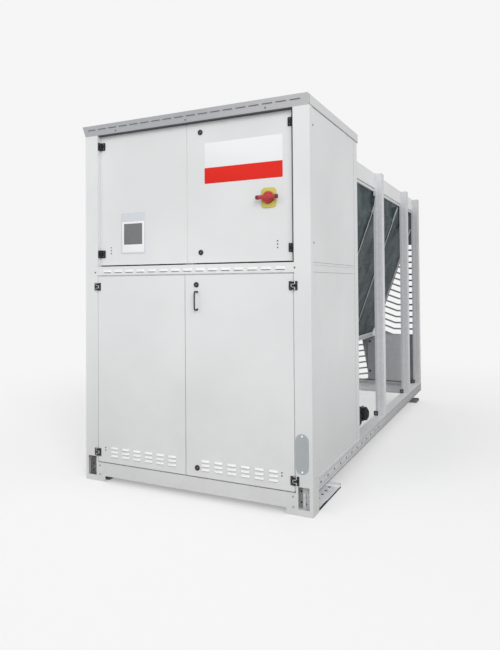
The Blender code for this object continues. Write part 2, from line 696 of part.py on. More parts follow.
def upper_hinges(black):
    """Corner hinges of the upper doors: a leaf on the door, one on the post's return, a knuckle."""
    face = FRONT + UPPER_DOOR_RECESS - SEAT_GAP
    corner = POST_INNER - SEAT_GAP
    path = [(corner - UPPER_HINGE_LEAF, face), (corner, face), (corner, face - HINGE_LEAF)]
    knuckle = circle(corner - HINGE_PIN_OFFSET, face - HINGE_PIN_OFFSET, HINGE_KNUCKLE_RADIUS, 12)
    heights = (("bottom", UPPER_DOOR_BOTTOM + UPPER_HINGE_INSET_LOW),
               ("top", UPPER_DOOR_TOP - HINGE_INSET_HIGH))
    for word, side in sides():
        leaves = mirror_outline(folded(path[::-1], HINGE_LEAF_THICKNESS), side)
        barrel = mirror_outline(knuckle, side)
        for place, centre in heights:
            low = centre - HINGE_HEIGHT / 2
            high = centre + HINGE_HEIGHT / 2
            hinge = prism(f"upper_hinge_{place}_{word}", black, leaves, "z", low, high)
            fuse(hinge, [(barrel, "z", low, high)], "knuckle")


def cover_plate(zinc):
    """The oval cover low on the right front post."""
    outline = slot_outline(HALF_WIDTH - COVER_INSET, COVER_LOW, COVER_HIGH, COVER_WIDTH, 8)
    prism("cover_plate", zinc, outline, "y", FRONT - SHEET - SEAT_GAP, FRONT - SEAT_GAP)


def coil_posts(zinc):
    """Six C posts of the coil section, standing on the base rails, notched for the top rails."""
    for index, share in enumerate(COIL_POST_SHARES):
        for word, side in sides():
            near = CABINET_BACK + share * (LAST_POST - CABINET_BACK)
            far = near + COIL_POST_WIDTH
            inner = HALF_WIDTH - COIL_POST_DEPTH
            path = [(inner, near), (HALF_WIDTH, near), (HALF_WIDTH, far), (inner, far)]
            outline = mirror_outline(folded(path, FRAME_SHEET), side)
            post = prism(f"coil_post_{index + 1}_{word}", zinc, outline, "z",
                         RAIL_TOP + SEAT_GAP, DECK_HEIGHT - SHEET)
            low_x, high_x = sorted((side * (inner - CUT_REACH), side * (TOP_RAIL_OUTER + SEAT_GAP)))
            notch = rectangle(low_x, near - CUT_REACH, high_x, far + CUT_REACH)
            cut(post, [(notch, "z", TOP_RAIL_BOTTOM - SEAT_GAP, DECK_HEIGHT + CUT_REACH)], "notch")


def top_rails(paint):
    """C rails along the top of the coil section and the beam across their back ends."""
    top = DECK_HEIGHT - SHEET - SEAT_GAP
    back = BACK - FRAME_SHEET - SEAT_GAP
    for word, side in sides():
        inner = TOP_RAIL_OUTER - TOP_RAIL_WIDTH
        path = [(inner, TOP_RAIL_BOTTOM), (TOP_RAIL_OUTER, TOP_RAIL_BOTTOM),
                (TOP_RAIL_OUTER, top), (inner, top)]
        outline = mirror_outline(folded(path, FRAME_SHEET), side)
        prism(f"top_rail_{word}", paint, outline, "y", COIL_FRONT, back)
    reach = TOP_RAIL_OUTER - TOP_RAIL_WIDTH - SEAT_GAP
    near = back - TOP_RAIL_WIDTH
    path = [(near, TOP_RAIL_BOTTOM), (back, TOP_RAIL_BOTTOM), (back, top), (near, top)]
    prism("top_beam_rear", paint, folded(path, FRAME_SHEET), "x", -reach, reach)


def coil_line(z):
    """X of the coil's outer face at a height."""
    return COIL_LOW_X + (z - COIL_LOW_Z) * COIL_SLOPE


def coils(fins):
    """Two slanted coil blocks, each closed up to the top rail by an upright plate."""
    length = math.hypot(1.0, COIL_SLOPE)
    inward = (-1.0 / length, COIL_SLOPE / length)
    shift = (inward[0] * COIL_THICKNESS, inward[1] * COIL_THICKNESS)
    top = TOP_RAIL_BOTTOM - SEAT_GAP
    plate = COIL_HIGH_X - FRAME_SHEET
    for word, side in sides():
        outline = [
            (COIL_LOW_X, COIL_LOW_Z), (COIL_HIGH_X, COIL_TOP_PLATE), (COIL_HIGH_X, top), (plate, top),
            (plate, COIL_TOP_PLATE + shift[1] + FRAME_SHEET),
            (COIL_HIGH_X + shift[0], COIL_TOP_PLATE + shift[1]),
            (COIL_LOW_X + shift[0], COIL_LOW_Z + shift[1]),
        ]
        prism(f"coil_{word}", fins, mirror_outline(outline, side), "y", COIL_FRONT, COIL_BACK)


def drip_tray(zinc):
    """The tray under the V that catches the coils' water and carries their lower edges."""
    lip = COIL_LOW_X + TRAY_LIP_GAP
    floor = COIL_LOW_Z - TRAY_DEPTH
    rim = COIL_LOW_Z
    path = [(-lip, rim), (-lip, floor), (lip, floor), (lip, rim)]
    tray = prism("drip_tray", zinc, folded(path, SHEET), "y", COIL_FRONT, COIL_BACK)
    for word, side in sides():
        seat_x = side * (COIL_LOW_X - TRAY_SEAT_INSET)
        low_x, high_x = sorted((seat_x, seat_x + side * TRAY_SEAT_WIDTH))
        top = COIL_LOW_Z - SEAT_GAP
        seat = rectangle(low_x, floor + SHEET / 2, high_x, top)
        fuse(tray, [(seat, "y", COIL_FRONT, COIL_BACK)], f"seat_{word}")


def guard_slot(level, side):
    """A bent slot: level from the post to a mitre line, then square to the coil's edge."""
    lean = math.atan(COIL_SLOPE)
    outer = HALF_WIDTH - GUARD_SLOT_INSET
    edges = []
    for z in (level, level + GUARD_PITCH - GUARD_SLAT):
        mitre = GUARD_MITRE_X + GUARD_MITRE_SLOPE * (z - GUARD_FIRST_SLOT)
        if mitre <= coil_line(z) + GUARD_MARGIN:
            mitre = coil_line(z) + GUARD_MARGIN
            edges.append(((outer, z), (mitre, z), (mitre, z)))
            continue
        gap = mitre - coil_line(z) - GUARD_MARGIN
        run = gap / (math.cos(lean) + math.sin(lean) * COIL_SLOPE)
        edges.append(((outer, z), (mitre, z), (mitre - run * math.cos(lean), z + run * math.sin(lean))))
    low, high = edges
    outline = [low[0], low[1], low[2], high[2], high[1], high[0]]
    kept = [point for index, point in enumerate(outline) if point != outline[index - 1]]
    return mirror_outline(kept, side)


def chevron_slot(level):
    """A slot that rises a little from the middle to both sides."""
    lean = (CHEVRON_TOP_X - CHEVRON_LOW_X) / (CHEVRON_SLOTS * CHEVRON_PITCH)
    high = level + CHEVRON_PITCH - CHEVRON_SLAT
    low_half = CHEVRON_LOW_X + lean * (level - CHEVRON_FIRST)
    high_half = CHEVRON_LOW_X + lean * (high - CHEVRON_FIRST)
    rise_low = CHEVRON_SLOPE * low_half
    rise_high = CHEVRON_SLOPE * high_half
    return [(-low_half, level + rise_low), (0.0, level), (low_half, level + rise_low),
            (high_half, high + rise_high), (0.0, high), (-high_half, high + rise_high)]


def rear_guard(zinc):
    """The sheet that closes the back: blank over the V, slotted beside it and below it."""
    reach = HALF_WIDTH - FRAME_SHEET - SEAT_GAP
    low = RAIL_TOP + SEAT_GAP
    top = TOP_RAIL_BOTTOM - SEAT_GAP
    sheet = rectangle(-reach, low, reach, top)
    guard = prism("rear_guard", zinc, sheet, "y", GUARD_FACE, GUARD_FACE + SHEET)
    slots = []
    for step in range(GUARD_SLOTS):
        for word, side in sides():
            outline = guard_slot(GUARD_FIRST_SLOT + step * GUARD_PITCH, side)
            slots.append((outline, "y", GUARD_FACE - CUT_REACH, GUARD_FACE + CUT_REACH))
    for step in range(CHEVRON_SLOTS):
        outline = chevron_slot(CHEVRON_FIRST + step * CHEVRON_PITCH - CHEVRON_SLOPE * CHEVRON_LOW_X)
        slots.append((outline, "y", GUARD_FACE - CUT_REACH, GUARD_FACE + CUT_REACH))
    cut(guard, slots, "slots")


def fan_centres():
    """Y of the two fans."""
    return [CABINET_BACK + FAN_INSET, BACK - FAN_INSET]


def fan_deck(paint):
    """The deck on the top rails, with a round opening for each fan."""
    reach = TOP_RAIL_OUTER
    back = BACK - FRAME_SHEET - SEAT_GAP
    deck = prism("fan_deck", paint, rectangle(-reach, COIL_FRONT, reach, back), "z",
                 DECK_HEIGHT - SHEET, DECK_HEIGHT)
    for index, centre in enumerate(fan_centres()):
        opening = circle(0.0, centre, FAN_RADIUS, COWL_STEPS)
        cut(deck, [(opening, "z", DECK_HEIGHT - 2 * SHEET, DECK_HEIGHT + SHEET)], f"opening_{index}")


def turned_ring(name, surface, profile, centre, steps):
    """A closed profile of (radius, height) turned about an upright axis at (0, centre)."""
    bm = bmesh.new()
    rings = []
    for step in range(steps):
        angle = 2 * math.pi * step / steps
        rings.append([bm.verts.new((radius * math.cos(angle), centre + radius * math.sin(angle), height))
                      for radius, height in profile])
    for step in range(steps):
        near = rings[step]
        far = rings[(step + 1) % steps]
        for index in range(len(profile)):
            after = (index + 1) % len(profile)
            bm.faces.new((near[index], near[after], far[after], far[index]))
    return finish(name, bm, surface)


def fan_cowls(paint):
    """A ring round each opening, with a foot on the deck and a lip at the top."""
    low = DECK_HEIGHT + SEAT_GAP
    path = [(FAN_RADIUS + COWL_FOOT, low), (FAN_RADIUS, low), (FAN_RADIUS, COWL_TOP),
            (FAN_RADIUS + COWL_LIP, COWL_TOP)]
    profile = folded(path[::-1], COWL_WALL)
    for index, centre in enumerate(fan_centres()):
        turned_ring(f"fan_cowl_{index + 1}", paint, profile, centre, COWL_STEPS)


def spoke(centre, turn, inner, outer, half_width):
    """The outline of a straight bar from the radius inner to the radius outer."""
    dx = math.cos(turn)
    dy = math.sin(turn)
    corners = ((inner, half_width), (outer, half_width), (outer, -half_width), (inner, -half_width))
    return [(reach * dx - across * dy, centre + reach * dy + across * dx) for reach, across in corners]


def fan_guards(black):
    """A grille on each cowl: a hub plate, eight bars and rings."""
    low = COWL_TOP + SEAT_GAP
    high = low + FAN_GUARD_BAR
    half = FAN_GUARD_BAR / 2
    rim = FAN_RADIUS + COWL_LIP
    for index, centre in enumerate(fan_centres()):
        hub = circle(0.0, centre, FAN_GUARD_HUB, 24)
        guard = prism(f"fan_guard_{index + 1}", black, hub, "z", low, high)
        for bar in range(FAN_GUARD_SPOKES):
            turn = 2 * math.pi * bar / FAN_GUARD_SPOKES
            outline = spoke(centre, turn, FAN_GUARD_HUB / 2, rim, half)
            fuse(guard, [(outline, "z", low, high)], f"bar_{bar}")
        for radius in FAN_GUARD_RINGS + (rim - half,):
            profile = rectangle(radius - half, low, radius + half, high)
            ring = turned_ring(f"{guard.name}_ring", black, profile, centre, COWL_STEPS)
            join(guard, ring)


def fans(black):
    """A motor with blades in each cowl, hung from the middle of its guard."""
    top = COWL_TOP
    low = BLADE_ROOT
    tip = FAN_RADIUS - BLADE_TIP_GAP
    level = DECK_HEIGHT - BLADE_DROP
    for index, centre in enumerate(fan_centres()):
        fan = prism(f"fan_{index + 1}", black, circle(0.0, centre, MOTOR_RADIUS, 24), "z",
                    top - MOTOR_HEIGHT, top)
        blades = []
        for blade in range(BLADE_COUNT):
            turn = 2 * math.pi * blade / BLADE_COUNT
            points = []
            for reach, angle in ((low, -BLADE_ROOT_TURN), (tip, BLADE_TIP_START),
                                 (tip, BLADE_TIP_END), (low, BLADE_ROOT_TURN)):
                points.append((reach * math.cos(turn + angle), centre + reach * math.sin(turn + angle)))
            blades.append((points, "z", level, level + BLADE_THICKNESS))
        fuse(fan, blades, "blades")


def turned_pipe(bm, centre_line, radius, steps):
    """Sweep a circle along a path of points that lie level, closing both ends."""
    rings = []
    count = len(centre_line)
    for index, (x, y, z) in enumerate(centre_line):
        before = centre_line[max(index - 1, 0)]
        after = centre_line[min(index + 1, count - 1)]
        dx, dy = after[0] - before[0], after[1] - before[1]
        length = math.hypot(dx, dy)
        across = (-dy / length, dx / length)
        ring = []
        for step in range(steps):
            angle = 2 * math.pi * step / steps
            side = radius * math.cos(angle)
            rise = radius * math.sin(angle)
            ring.append(bm.verts.new((x + side * across[0], y + side * across[1], z + rise)))
        rings.append(ring)
    for near, far in zip(rings, rings[1:]):
        for step in range(steps):
            after = (step + 1) % steps
            bm.faces.new((near[step], near[after], far[after], far[step]))
    bm.faces.new(rings[0])
    bm.faces.new(rings[-1])


def pipe_connections(black):
    """Four stubs that leave the cabinet's back, bend outward and end in grooved couplings."""
    level = RAIL_TOP + PIPE_RISE
    end_x = HALF_WIDTH - PIPE_END_INSET
    rows = (("front", PIPE_NEAR, PIPE_BRANCH_INSET),
            ("rear", PIPE_FAR, PIPE_BRANCH_INSET + PIPE_BRANCH_STEP))
    for word, side in sides():
        for place, reach, inset in rows:
            y = CABINET_BACK + reach
            branch = end_x - inset
            line = [(side * branch, CABINET_BACK + SEAT_GAP, level)]
            for step in range(PIPE_BEND_STEPS + 1):
                angle = math.pi / 2 * step / PIPE_BEND_STEPS
                line.append((side * (branch + PIPE_BEND * (1 - math.cos(angle))),
                             y - PIPE_BEND * (1 - math.sin(angle)), level))
            line.append((side * end_x, y, level))
            bm = bmesh.new()
            turned_pipe(bm, line, PIPE_RADIUS, 16)
            pipe = finish(f"pipe_{place}_{word}", bm, black)
            face = end_x - COUPLING_FROM_END
            low_x, high_x = sorted((side * (face - COUPLING_WIDTH), side * face))
            fuse(pipe, [(circle(y, level, COUPLING_RADIUS, 20), "x", low_x, high_x)], "coupling")


def build():
    """Make every piece of the unit."""
    clear_scene()
    paint = material("white_paint", (0.80, 0.81, 0.82), 0.42, 0.0)
    zinc = material("galvanised_steel", (0.62, 0.63, 0.64), 0.45, 0.85)
    black = material("black_plastic", (0.02, 0.025, 0.03), 0.45, 0.0)
    yellow = material("yellow_plastic", (0.78, 0.70, 0.12), 0.40, 0.0)
    red = material("red_plastic", (0.55, 0.05, 0.06), 0.35, 0.0)
    fins = material("coil_fins", (0.17, 0.21, 0.21), 0.55, 0.4)
    base_rails(zinc)
    feet(zinc)
    rear_beam(zinc)
    front_posts(paint)
    front_skirt(paint)
    floor_pan(paint)
    mid_frame(paint)
    side_panels(paint)
    cabinet_back(paint)
    roof_hood(paint)
    upper_doors(paint)
    lower_doors(paint)
    belt_front(paint)
    locks(black)
    pull_handle(black)
    main_switch(yellow, red)
    upper_hinges(black)
    cover_plate(zinc)
    coil_posts(zinc)
    top_rails(paint)
    coils(fins)
    drip_tray(zinc)
    rear_guard(zinc)
    fan_deck(paint)
    fan_cowls(paint)
    fan_guards(black)
    fans(black)
    pipe_connections(black)


build()
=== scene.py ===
"""Looks of the four-pipe heat pump unit: the finish of every surface and the fine pieces that
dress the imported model. Metres, +Z up, +X right along the front, +Y towards the back."""

import math

import bmesh
import bpy
import numpy as np
from mathutils import Matrix, Vector


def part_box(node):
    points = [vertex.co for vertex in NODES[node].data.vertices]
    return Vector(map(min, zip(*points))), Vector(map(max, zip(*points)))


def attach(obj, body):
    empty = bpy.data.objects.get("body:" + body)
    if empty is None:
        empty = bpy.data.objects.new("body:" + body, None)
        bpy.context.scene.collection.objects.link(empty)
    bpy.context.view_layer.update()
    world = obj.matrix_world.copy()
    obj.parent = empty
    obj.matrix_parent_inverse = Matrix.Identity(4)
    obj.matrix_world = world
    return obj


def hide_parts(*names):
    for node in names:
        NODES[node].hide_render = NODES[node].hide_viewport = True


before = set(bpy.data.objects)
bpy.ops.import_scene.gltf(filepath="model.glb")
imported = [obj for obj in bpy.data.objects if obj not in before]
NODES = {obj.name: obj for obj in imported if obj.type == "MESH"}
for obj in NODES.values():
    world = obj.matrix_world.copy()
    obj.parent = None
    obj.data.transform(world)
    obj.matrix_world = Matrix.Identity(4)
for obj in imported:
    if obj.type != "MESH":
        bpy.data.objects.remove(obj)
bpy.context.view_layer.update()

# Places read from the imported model
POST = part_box("front_post_right")
LOWER_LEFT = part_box("lower_door_left")
LOWER_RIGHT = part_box("lower_door_right")
UPPER_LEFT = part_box("upper_door_left")
UPPER_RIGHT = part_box("upper_door_right")
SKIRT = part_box("front_skirt")
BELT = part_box("belt_front")
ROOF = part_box("roof_hood")
SIDE_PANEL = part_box("side_panel_upper_right")
CABINET_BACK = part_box("cabinet_back")
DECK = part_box("fan_deck")
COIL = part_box("coil_right")
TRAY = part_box("drip_tray")
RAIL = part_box("base_rail_right")
TOP_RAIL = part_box("top_rail_right")
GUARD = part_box("rear_guard")
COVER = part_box("cover_plate")

FRONT = SKIRT[0].y
UPPER_FACE = UPPER_LEFT[0].y
HALF_WIDTH = POST[1].x
POST_INNER = SKIRT[1].x + 0.0003
BACK_FACE = CABINET_BACK[1].y
SIDE_FACE = SIDE_PANEL[1].x
DOOR_SEAM = (LOWER_LEFT[1].x + LOWER_RIGHT[0].x) / 2
RAIL_MIDDLE = (RAIL[0].z + RAIL[1].z) / 2

# Each side's word and its sign along X
SIDES = (("left", -1), ("right", 1))

# The slanted coils, from their lower outer edge to the top of their slope
COIL_LOW_X = 0.294
COIL_LOW_Z = 0.707
COIL_HIGH_X = 0.675
COIL_TOP = 1.760
COIL_SEAMS = (FRONT + 1.608, FRONT + 2.366)
TUBE_ROW = 0.0254

# Holes along the base rails
RAIL_HOLE_FIRST = FRONT + 0.127
RAIL_HOLE_PITCH = 0.120
RAIL_HOLES = 12

# Hinges of the doors
HINGE_HEIGHT = 0.047
HINGE_SCREW_RISES = (-0.0135, 0.0135)
KNUCKLE = 0.0079

# Fans, sky, background and floor
FAN_RADIUS = 0.400
SKY = 0.64
BACKDROP = 0.918
FLOOR_TONE = 0.62
FLOOR_LIFT = 0.345
FLOOR_REACH = 40.0

# Basis of each facing: the across, the up and the outward direction
FACING = {
    "front": ((1, 0, 0), (0, 0, 1), (0, -1, 0)),
    "back": ((-1, 0, 0), (0, 0, 1), (0, 1, 0)),
    "right": ((0, 1, 0), (0, 0, 1), (1, 0, 0)),
    "left": ((0, -1, 0), (0, 0, 1), (-1, 0, 0)),
    "top": ((1, 0, 0), (0, 1, 0), (0, 0, 1)),
}


# Mesh work


def grid(points, wrap_rows=False, wrap_columns=False):
    """A patch over an array of points (rows, columns, 3): four neighbours make a face."""
    rows, columns = points.shape[:2]
    index = np.arange(rows * columns).reshape(rows, columns)
    if wrap_rows:
        index = np.vstack((index, index[:1]))
    if wrap_columns:
        index = np.hstack((index, index[:, :1]))
    faces = np.stack((index[:-1, :-1], index[:-1, 1:], index[1:, 1:], index[1:, :-1]), axis=-1)
    return points.reshape(-1, 3), faces.reshape(-1, 4).tolist()


def closed_stack(rings):
    """A closed skin through an array of rings (ring, point, 3), its two ends capped flat."""
    points, faces = grid(rings, wrap_columns=True)
    count, around = rings.shape[:2]
    faces.append(list(range(around)))
    faces.append(list(range((count - 1) * around, count * around)))
    return points, faces


def placed(patch, centre, facing):
    """Local (across, up, out) becomes centre + across*A + up*B + out*O, for the basis A, B, O of
    a facing's name or a basis of its own."""
    points, faces = patch
    basis = FACING[facing] if isinstance(facing, str) else facing
    return np.asarray(centre, float) + points @ np.asarray(basis, float), faces


def stacked(patches):
    """Several patches as one: each one's point numbers are shifted past those before it."""
    points = []
    faces = []
    shift = 0
    for patch_points, patch_faces in patches:
        points.append(patch_points)
        faces.extend([[corner + shift for corner in face] for face in patch_faces])
        shift += len(patch_points)
    return np.vstack(points), faces


def piece(name, patches, finish, body="unit", smooth_angle=35):
    """One object from patches, its faces turned outward, riding on a body, with the finish as its
    material."""
    points, faces = stacked(patches)
    mesh = bpy.data.meshes.new(name)
    mesh.from_pydata(points.tolist(), [], faces)
    bm = bmesh.new()
    bm.from_mesh(mesh)
    bmesh.ops.recalc_face_normals(bm, faces=bm.faces)
    limit = math.radians(smooth_angle)
    for edge in bm.edges:
        edge.smooth = len(edge.link_faces) == 2 and edge.calc_face_angle(0.0) < limit
    bm.to_mesh(mesh)
    bm.free()
    mesh.shade_smooth()
    mesh.materials.append(finish)
    made = bpy.data.objects.new(name, mesh)
    bpy.context.scene.collection.objects.link(made)
    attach(made, body)
    return made


def outline_rounded(width, height, corner, steps=6):
    """Points of a rectangle with round corners: each corner's centre plus radius (cos, sin)."""
    corner = min(corner, width / 2 - 1e-5, height / 2 - 1e-5)
    turn = np.concatenate([np.linspace(q, q + 1, steps) for q in range(4)]) * math.pi / 2
    across = np.repeat([1, -1, -1, 1], steps) * (width / 2 - corner) + corner * np.cos(turn)
    up = np.repeat([1, 1, -1, -1], steps) * (height / 2 - corner) + corner * np.sin(turn)
    return np.stack((across, up), axis=-1)


def plug(width, height, corner, depth, edge, steps=6, rounds=4):
    """A rounded plate: its outline rises straight, then draws in over a quarter circle."""
    turn = np.linspace(0, math.pi / 2, rounds)
    insets = np.concatenate(([0.0], edge * (1 - np.cos(turn))))
    levels = np.concatenate(([0.0], depth - edge + edge * np.sin(turn)))
    rings = []
    for inset, level in zip(insets, levels):
        outline = outline_rounded(width - 2 * inset, height - 2 * inset, max(corner - inset, 0.0004), steps)
        rings.append(np.column_stack((outline, np.full(len(outline), level))))
    return closed_stack(np.array(rings))


def turned(profile, steps=24, lobes=0, lobe_from=0, lobe_depth=0.0):
    """A profile (radius, out) turned about the outward axis: (r cos t, r sin t, out); from the
    ring lobe_from inward the radius is r (1 + depth cos(lobes t))."""
    profile = np.asarray(profile, float)
    turn = np.linspace(0, 2 * math.pi, steps, endpoint=False)
    radius = np.repeat(profile[:, :1], steps, axis=1)
    if lobes:
        radius[lobe_from:] *= 1 + lobe_depth * np.cos(lobes * turn)
    out = np.repeat(profile[:, 1:], steps, axis=1)
    return closed_stack(np.stack((radius * np.cos(turn), radius * np.sin(turn), out), axis=-1))


def turned_band(profile, steps=48):
    """A closed profile (radius, out) turned about the outward axis into a ring."""
    profile = np.asarray(profile, float)
    turn = np.linspace(0, 2 * math.pi, steps, endpoint=False)[:, None]
    out = np.broadcast_to(profile[:, 1], (steps, len(profile)))
    rings = np.stack((profile[:, 0] * np.cos(turn), profile[:, 0] * np.sin(turn), out), axis=-1)
    return grid(rings, wrap_rows=True, wrap_columns=True)


def carried(profile, path, upward):
    """A profile (side, rise) carried along a path: point = path + side*S + rise*U, where S is
    square to the path's direction and to upward, and U square to both."""
    path = np.asarray(path, float)
    along = np.gradient(path, axis=0)
    along /= np.linalg.norm(along, axis=1, keepdims=True)
    side = np.cross(along, np.asarray(upward, float))
    side /= np.linalg.norm(side, axis=1, keepdims=True)
    rise = np.cross(side, along)
    profile = np.asarray(profile, float)
    rings = path[:, None] + profile[None, :, :1] * side[:, None] + profile[None, :, 1:] * rise[:, None]
    return closed_stack(rings)


def extruded(outline, side, y_low, y_high):
    """An outline (across, up) in the plane of X and Z, mirrored by the side's sign, made a solid
    between two places along Y."""
    outline = np.asarray(outline, float)
    across, up = side * outline[:, 0], outline[:, 1]
    rings = [np.column_stack((across, np.full(len(up), y), up)) for y in (y_low, y_high)]
    return closed_stack(np.array(rings))


def bar(low, high):
    """A plain bar between two opposite corners."""
    (x0, y0, z0), (x1, y1, z1) = low, high
    return extruded([(x0, z0), (x1, z0), (x1, z1), (x0, z1)], 1, y0, y1)


def side_bar(side, low, high):
    """A bar given for the right side, there or mirrored to the left by the side's sign."""
    x0, x1 = sorted((side * low[0], side * high[0]))
    return bar((x0, low[1], low[2]), (x1, high[1], high[2]))


def mirrored_bars(bars):
    """Bars given for the right side, each once there and once mirrored to the left."""
    return [side_bar(side, low, high) for low, high in bars for side in (1, -1)]


def circle_profile(radius, steps=12):
    """Points on a circle."""
    turn = np.linspace(0, 2 * math.pi, steps, endpoint=False)
    return np.stack((radius * np.cos(turn), radius * np.sin(turn)), axis=-1)


def arc_between(corner, before, after, radius, steps=8):
    """Points that round a corner of a path: a quadratic curve from radius before it to radius after."""
    corner, before, after = (np.asarray(p, float) for p in (corner, before, after))
    start = corner + (before - corner) / np.linalg.norm(before - corner) * radius
    end = corner + (after - corner) / np.linalg.norm(after - corner) * radius
    t = np.linspace(0, 1, steps)[:, None]
    return (1 - t) ** 2 * start + 2 * t * (1 - t) * corner + t ** 2 * end


def screw_head(radius):
    """A pan head: a low dome whose inner rings sink into a lobed drive."""
    profile = [(1.0, 0.0), (1.0, 0.22), (0.94, 0.40), (0.78, 0.52), (0.58, 0.58),
               (0.42, 0.59), (0.38, 0.35), (0.26, 0.33)]
    return turned([(r * radius, h * radius) for r, h in profile], steps=16,
                  lobes=4, lobe_from=5, lobe_depth=0.30)


def screws(radius, places, facing):
    """A pan head at each place."""
    return [placed(screw_head(radius), place, facing) for place in places]


def hex_head(radius, height):
    """A hexagon bolt head on a washer: r cos(30) / cos(angle to the flat's middle)."""
    turn = np.linspace(0, 2 * math.pi, 24, endpoint=False)
    flat = radius * math.cos(math.pi / 6) / np.cos((turn % (math.pi / 3)) - math.pi / 6)
    levels = [(1.0, 0.0), (1.0, height * 0.85), (0.93, height)]
    rings = np.array([np.stack((flat * s * np.cos(turn), flat * s * np.sin(turn),
                                np.full(24, level)), axis=-1) for s, level in levels])
    washer = turned([(radius * 1.35, 0.0), (radius * 1.35, height * 0.2), (radius * 0.9, height * 0.22)])
    return stacked([closed_stack(rings), washer])


def bolts(radius, height, places, facing):
    """A hexagon bolt at each place."""
    return [placed(hex_head(radius, height), place, facing) for place in places]


def around(centre_y, level, radius, count):
    """Places on a level circle about a fan's axis, half a step off the X axis."""
    turns = 2 * math.pi * (np.arange(count) + 0.5) / count
    return [(radius * math.cos(turn), centre_y + radius * math.sin(turn), level) for turn in turns]


def burred_hole(radius):
    """A dark hole with a thin burr round its edge."""
    return turned([(radius, 0.0), (radius - 0.0002, 0.0005), (0.0030, 0.0006), (0.0022, 0.0002)], 16)


def shadow_disc(radius, depth, steps):
    """A dark disc at the bottom of a bore, seen through its hole: painted shade."""
    return turned([(radius, 0.0), (radius, depth), (0.002, depth)], steps)


def rolled_rim(radius):
    """A flush rivet head, sunk a little in its middle."""
    return turned([(radius, -0.001), (radius, 0.0001), (0.0034, 0.00015), (0.002, 0.0)], 16)


def seat(name):
    """The middle of a node's back face, where it sits on its sheet."""
    low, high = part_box(name)
    return (low.x + high.x) / 2, high.y, (low.z + high.z) / 2


# Shared effects


def effect(name, inputs, outputs):
    """An empty shader node group with named float inputs and named outputs."""
    tree = bpy.data.node_groups.new(name, "ShaderNodeTree")
    for label, value in inputs:
        socket = tree.interface.new_socket(label, in_out="INPUT", socket_type="NodeSocketFloat")
        socket.default_value = value
    for label in outputs:
        tree.interface.new_socket(label, in_out="OUTPUT", socket_type="NodeSocketFloat")
    return tree, tree.nodes.new("NodeGroupInput"), tree.nodes.new("NodeGroupOutput")


def node(tree, kind, values=(), **settings):
    """A node with its settings, and values set on its named inputs."""
    made = tree.nodes.new(kind)
    for key, value in settings.items():
        setattr(made, key, value)
    for key, value in dict(values).items():
        made.inputs[key].default_value = value
    return made


def object_place(tree):
    """The Object coordinates."""
    return tree.nodes.new("ShaderNodeTexCoord").outputs["Object"]


def object_axis(tree, axis):
    """One axis of the Object coordinates."""
    split = tree.nodes.new("ShaderNodeSeparateXYZ")
    tree.links.new(object_place(tree), split.inputs[0])
    return split.outputs[axis]


def maths(tree, operation, first, second=None, third=None, clamp=False):
    """A Math node whose inputs are sockets or numbers; gives its output socket."""
    made = tree.nodes.new("ShaderNodeMath")
    made.operation = operation
    made.use_clamp = clamp
    for index, value in enumerate((first, second, third)):
        if value is None:
            continue
        if isinstance(value, (int, float)):
            made.inputs[index].default_value = value
        else:
            tree.links.new(value, made.inputs[index])
    return made.outputs[0]


def near_to(tree, value, target, reach):
    """One where a socket lies within the reach of a target, else zero."""
    return maths(tree, "COMPARE", value, target, reach)


def product(tree, first, *others):
    """The product of sockets and numbers."""
    for other in others:
        first = maths(tree, "MULTIPLY", first, other)
    return first


def ranged(tree, value, low, high, to_low, to_high):
    """A smooth Map Range of a socket."""
    made = tree.nodes.new("ShaderNodeMapRange")
    made.interpolation_type = "SMOOTHSTEP"
    tree.links.new(value, made.inputs["Value"])
    for key, number in (("From Min", low), ("From Max", high), ("To Min", to_low), ("To Max", to_high)):
        made.inputs[key].default_value = number
    return made.outputs["Result"]


def noise(tree, coordinates, scale, detail=3.0, roughness=0.5, stretch=None):
    """A Noise Texture's value, on coordinates that may be stretched first."""
    source = coordinates
    if stretch:
        mapping = node(tree, "ShaderNodeMapping", {"Scale": stretch})
        tree.links.new(source, mapping.inputs["Vector"])
        source = mapping.outputs["Vector"]
    made = node(tree, "ShaderNodeTexNoise", {"Scale": scale, "Detail": detail, "Roughness": roughness})
    tree.links.new(source, made.inputs["Vector"])
    return made.outputs["Fac"]


def make_weathering():
    """Dust that gathers low down, rain runs and cloudy tone, from Object coordinates."""
    tree, given, out = effect("weathering", (("Dust Height", 0.5), ("Dust", 0.3), ("Runs", 0.3)),
                              ("Dust", "Runs", "Clouds"))
    place = object_place(tree)
    fall = maths(tree, "DIVIDE", object_axis(tree, "Z"), given.outputs["Dust Height"])
    low = maths(tree, "SUBTRACT", 1.0, fall, clamp=True)
    patchy = ranged(tree, noise(tree, place, 7.0, 5.0, 0.6), 0.3, 0.7, 0.35, 1.0)
    tree.links.new(product(tree, low, patchy, given.outputs["Dust"]), out.inputs["Dust"])
    run = ranged(tree, noise(tree, place, 9.0, 4.0, 0.55, (3.0, 3.0, 0.16)), 0.50, 0.78, 0.0, 1.0)
    fade = ranged(tree, noise(tree, place, 1.7), 0.35, 0.7, 0.0, 1.0)
    tree.links.new(product(tree, run, fade, given.outputs["Runs"]), out.inputs["Runs"])
    tree.links.new(noise(tree, place, 1.3, 3.0, 0.55), out.inputs["Clouds"])
    return tree


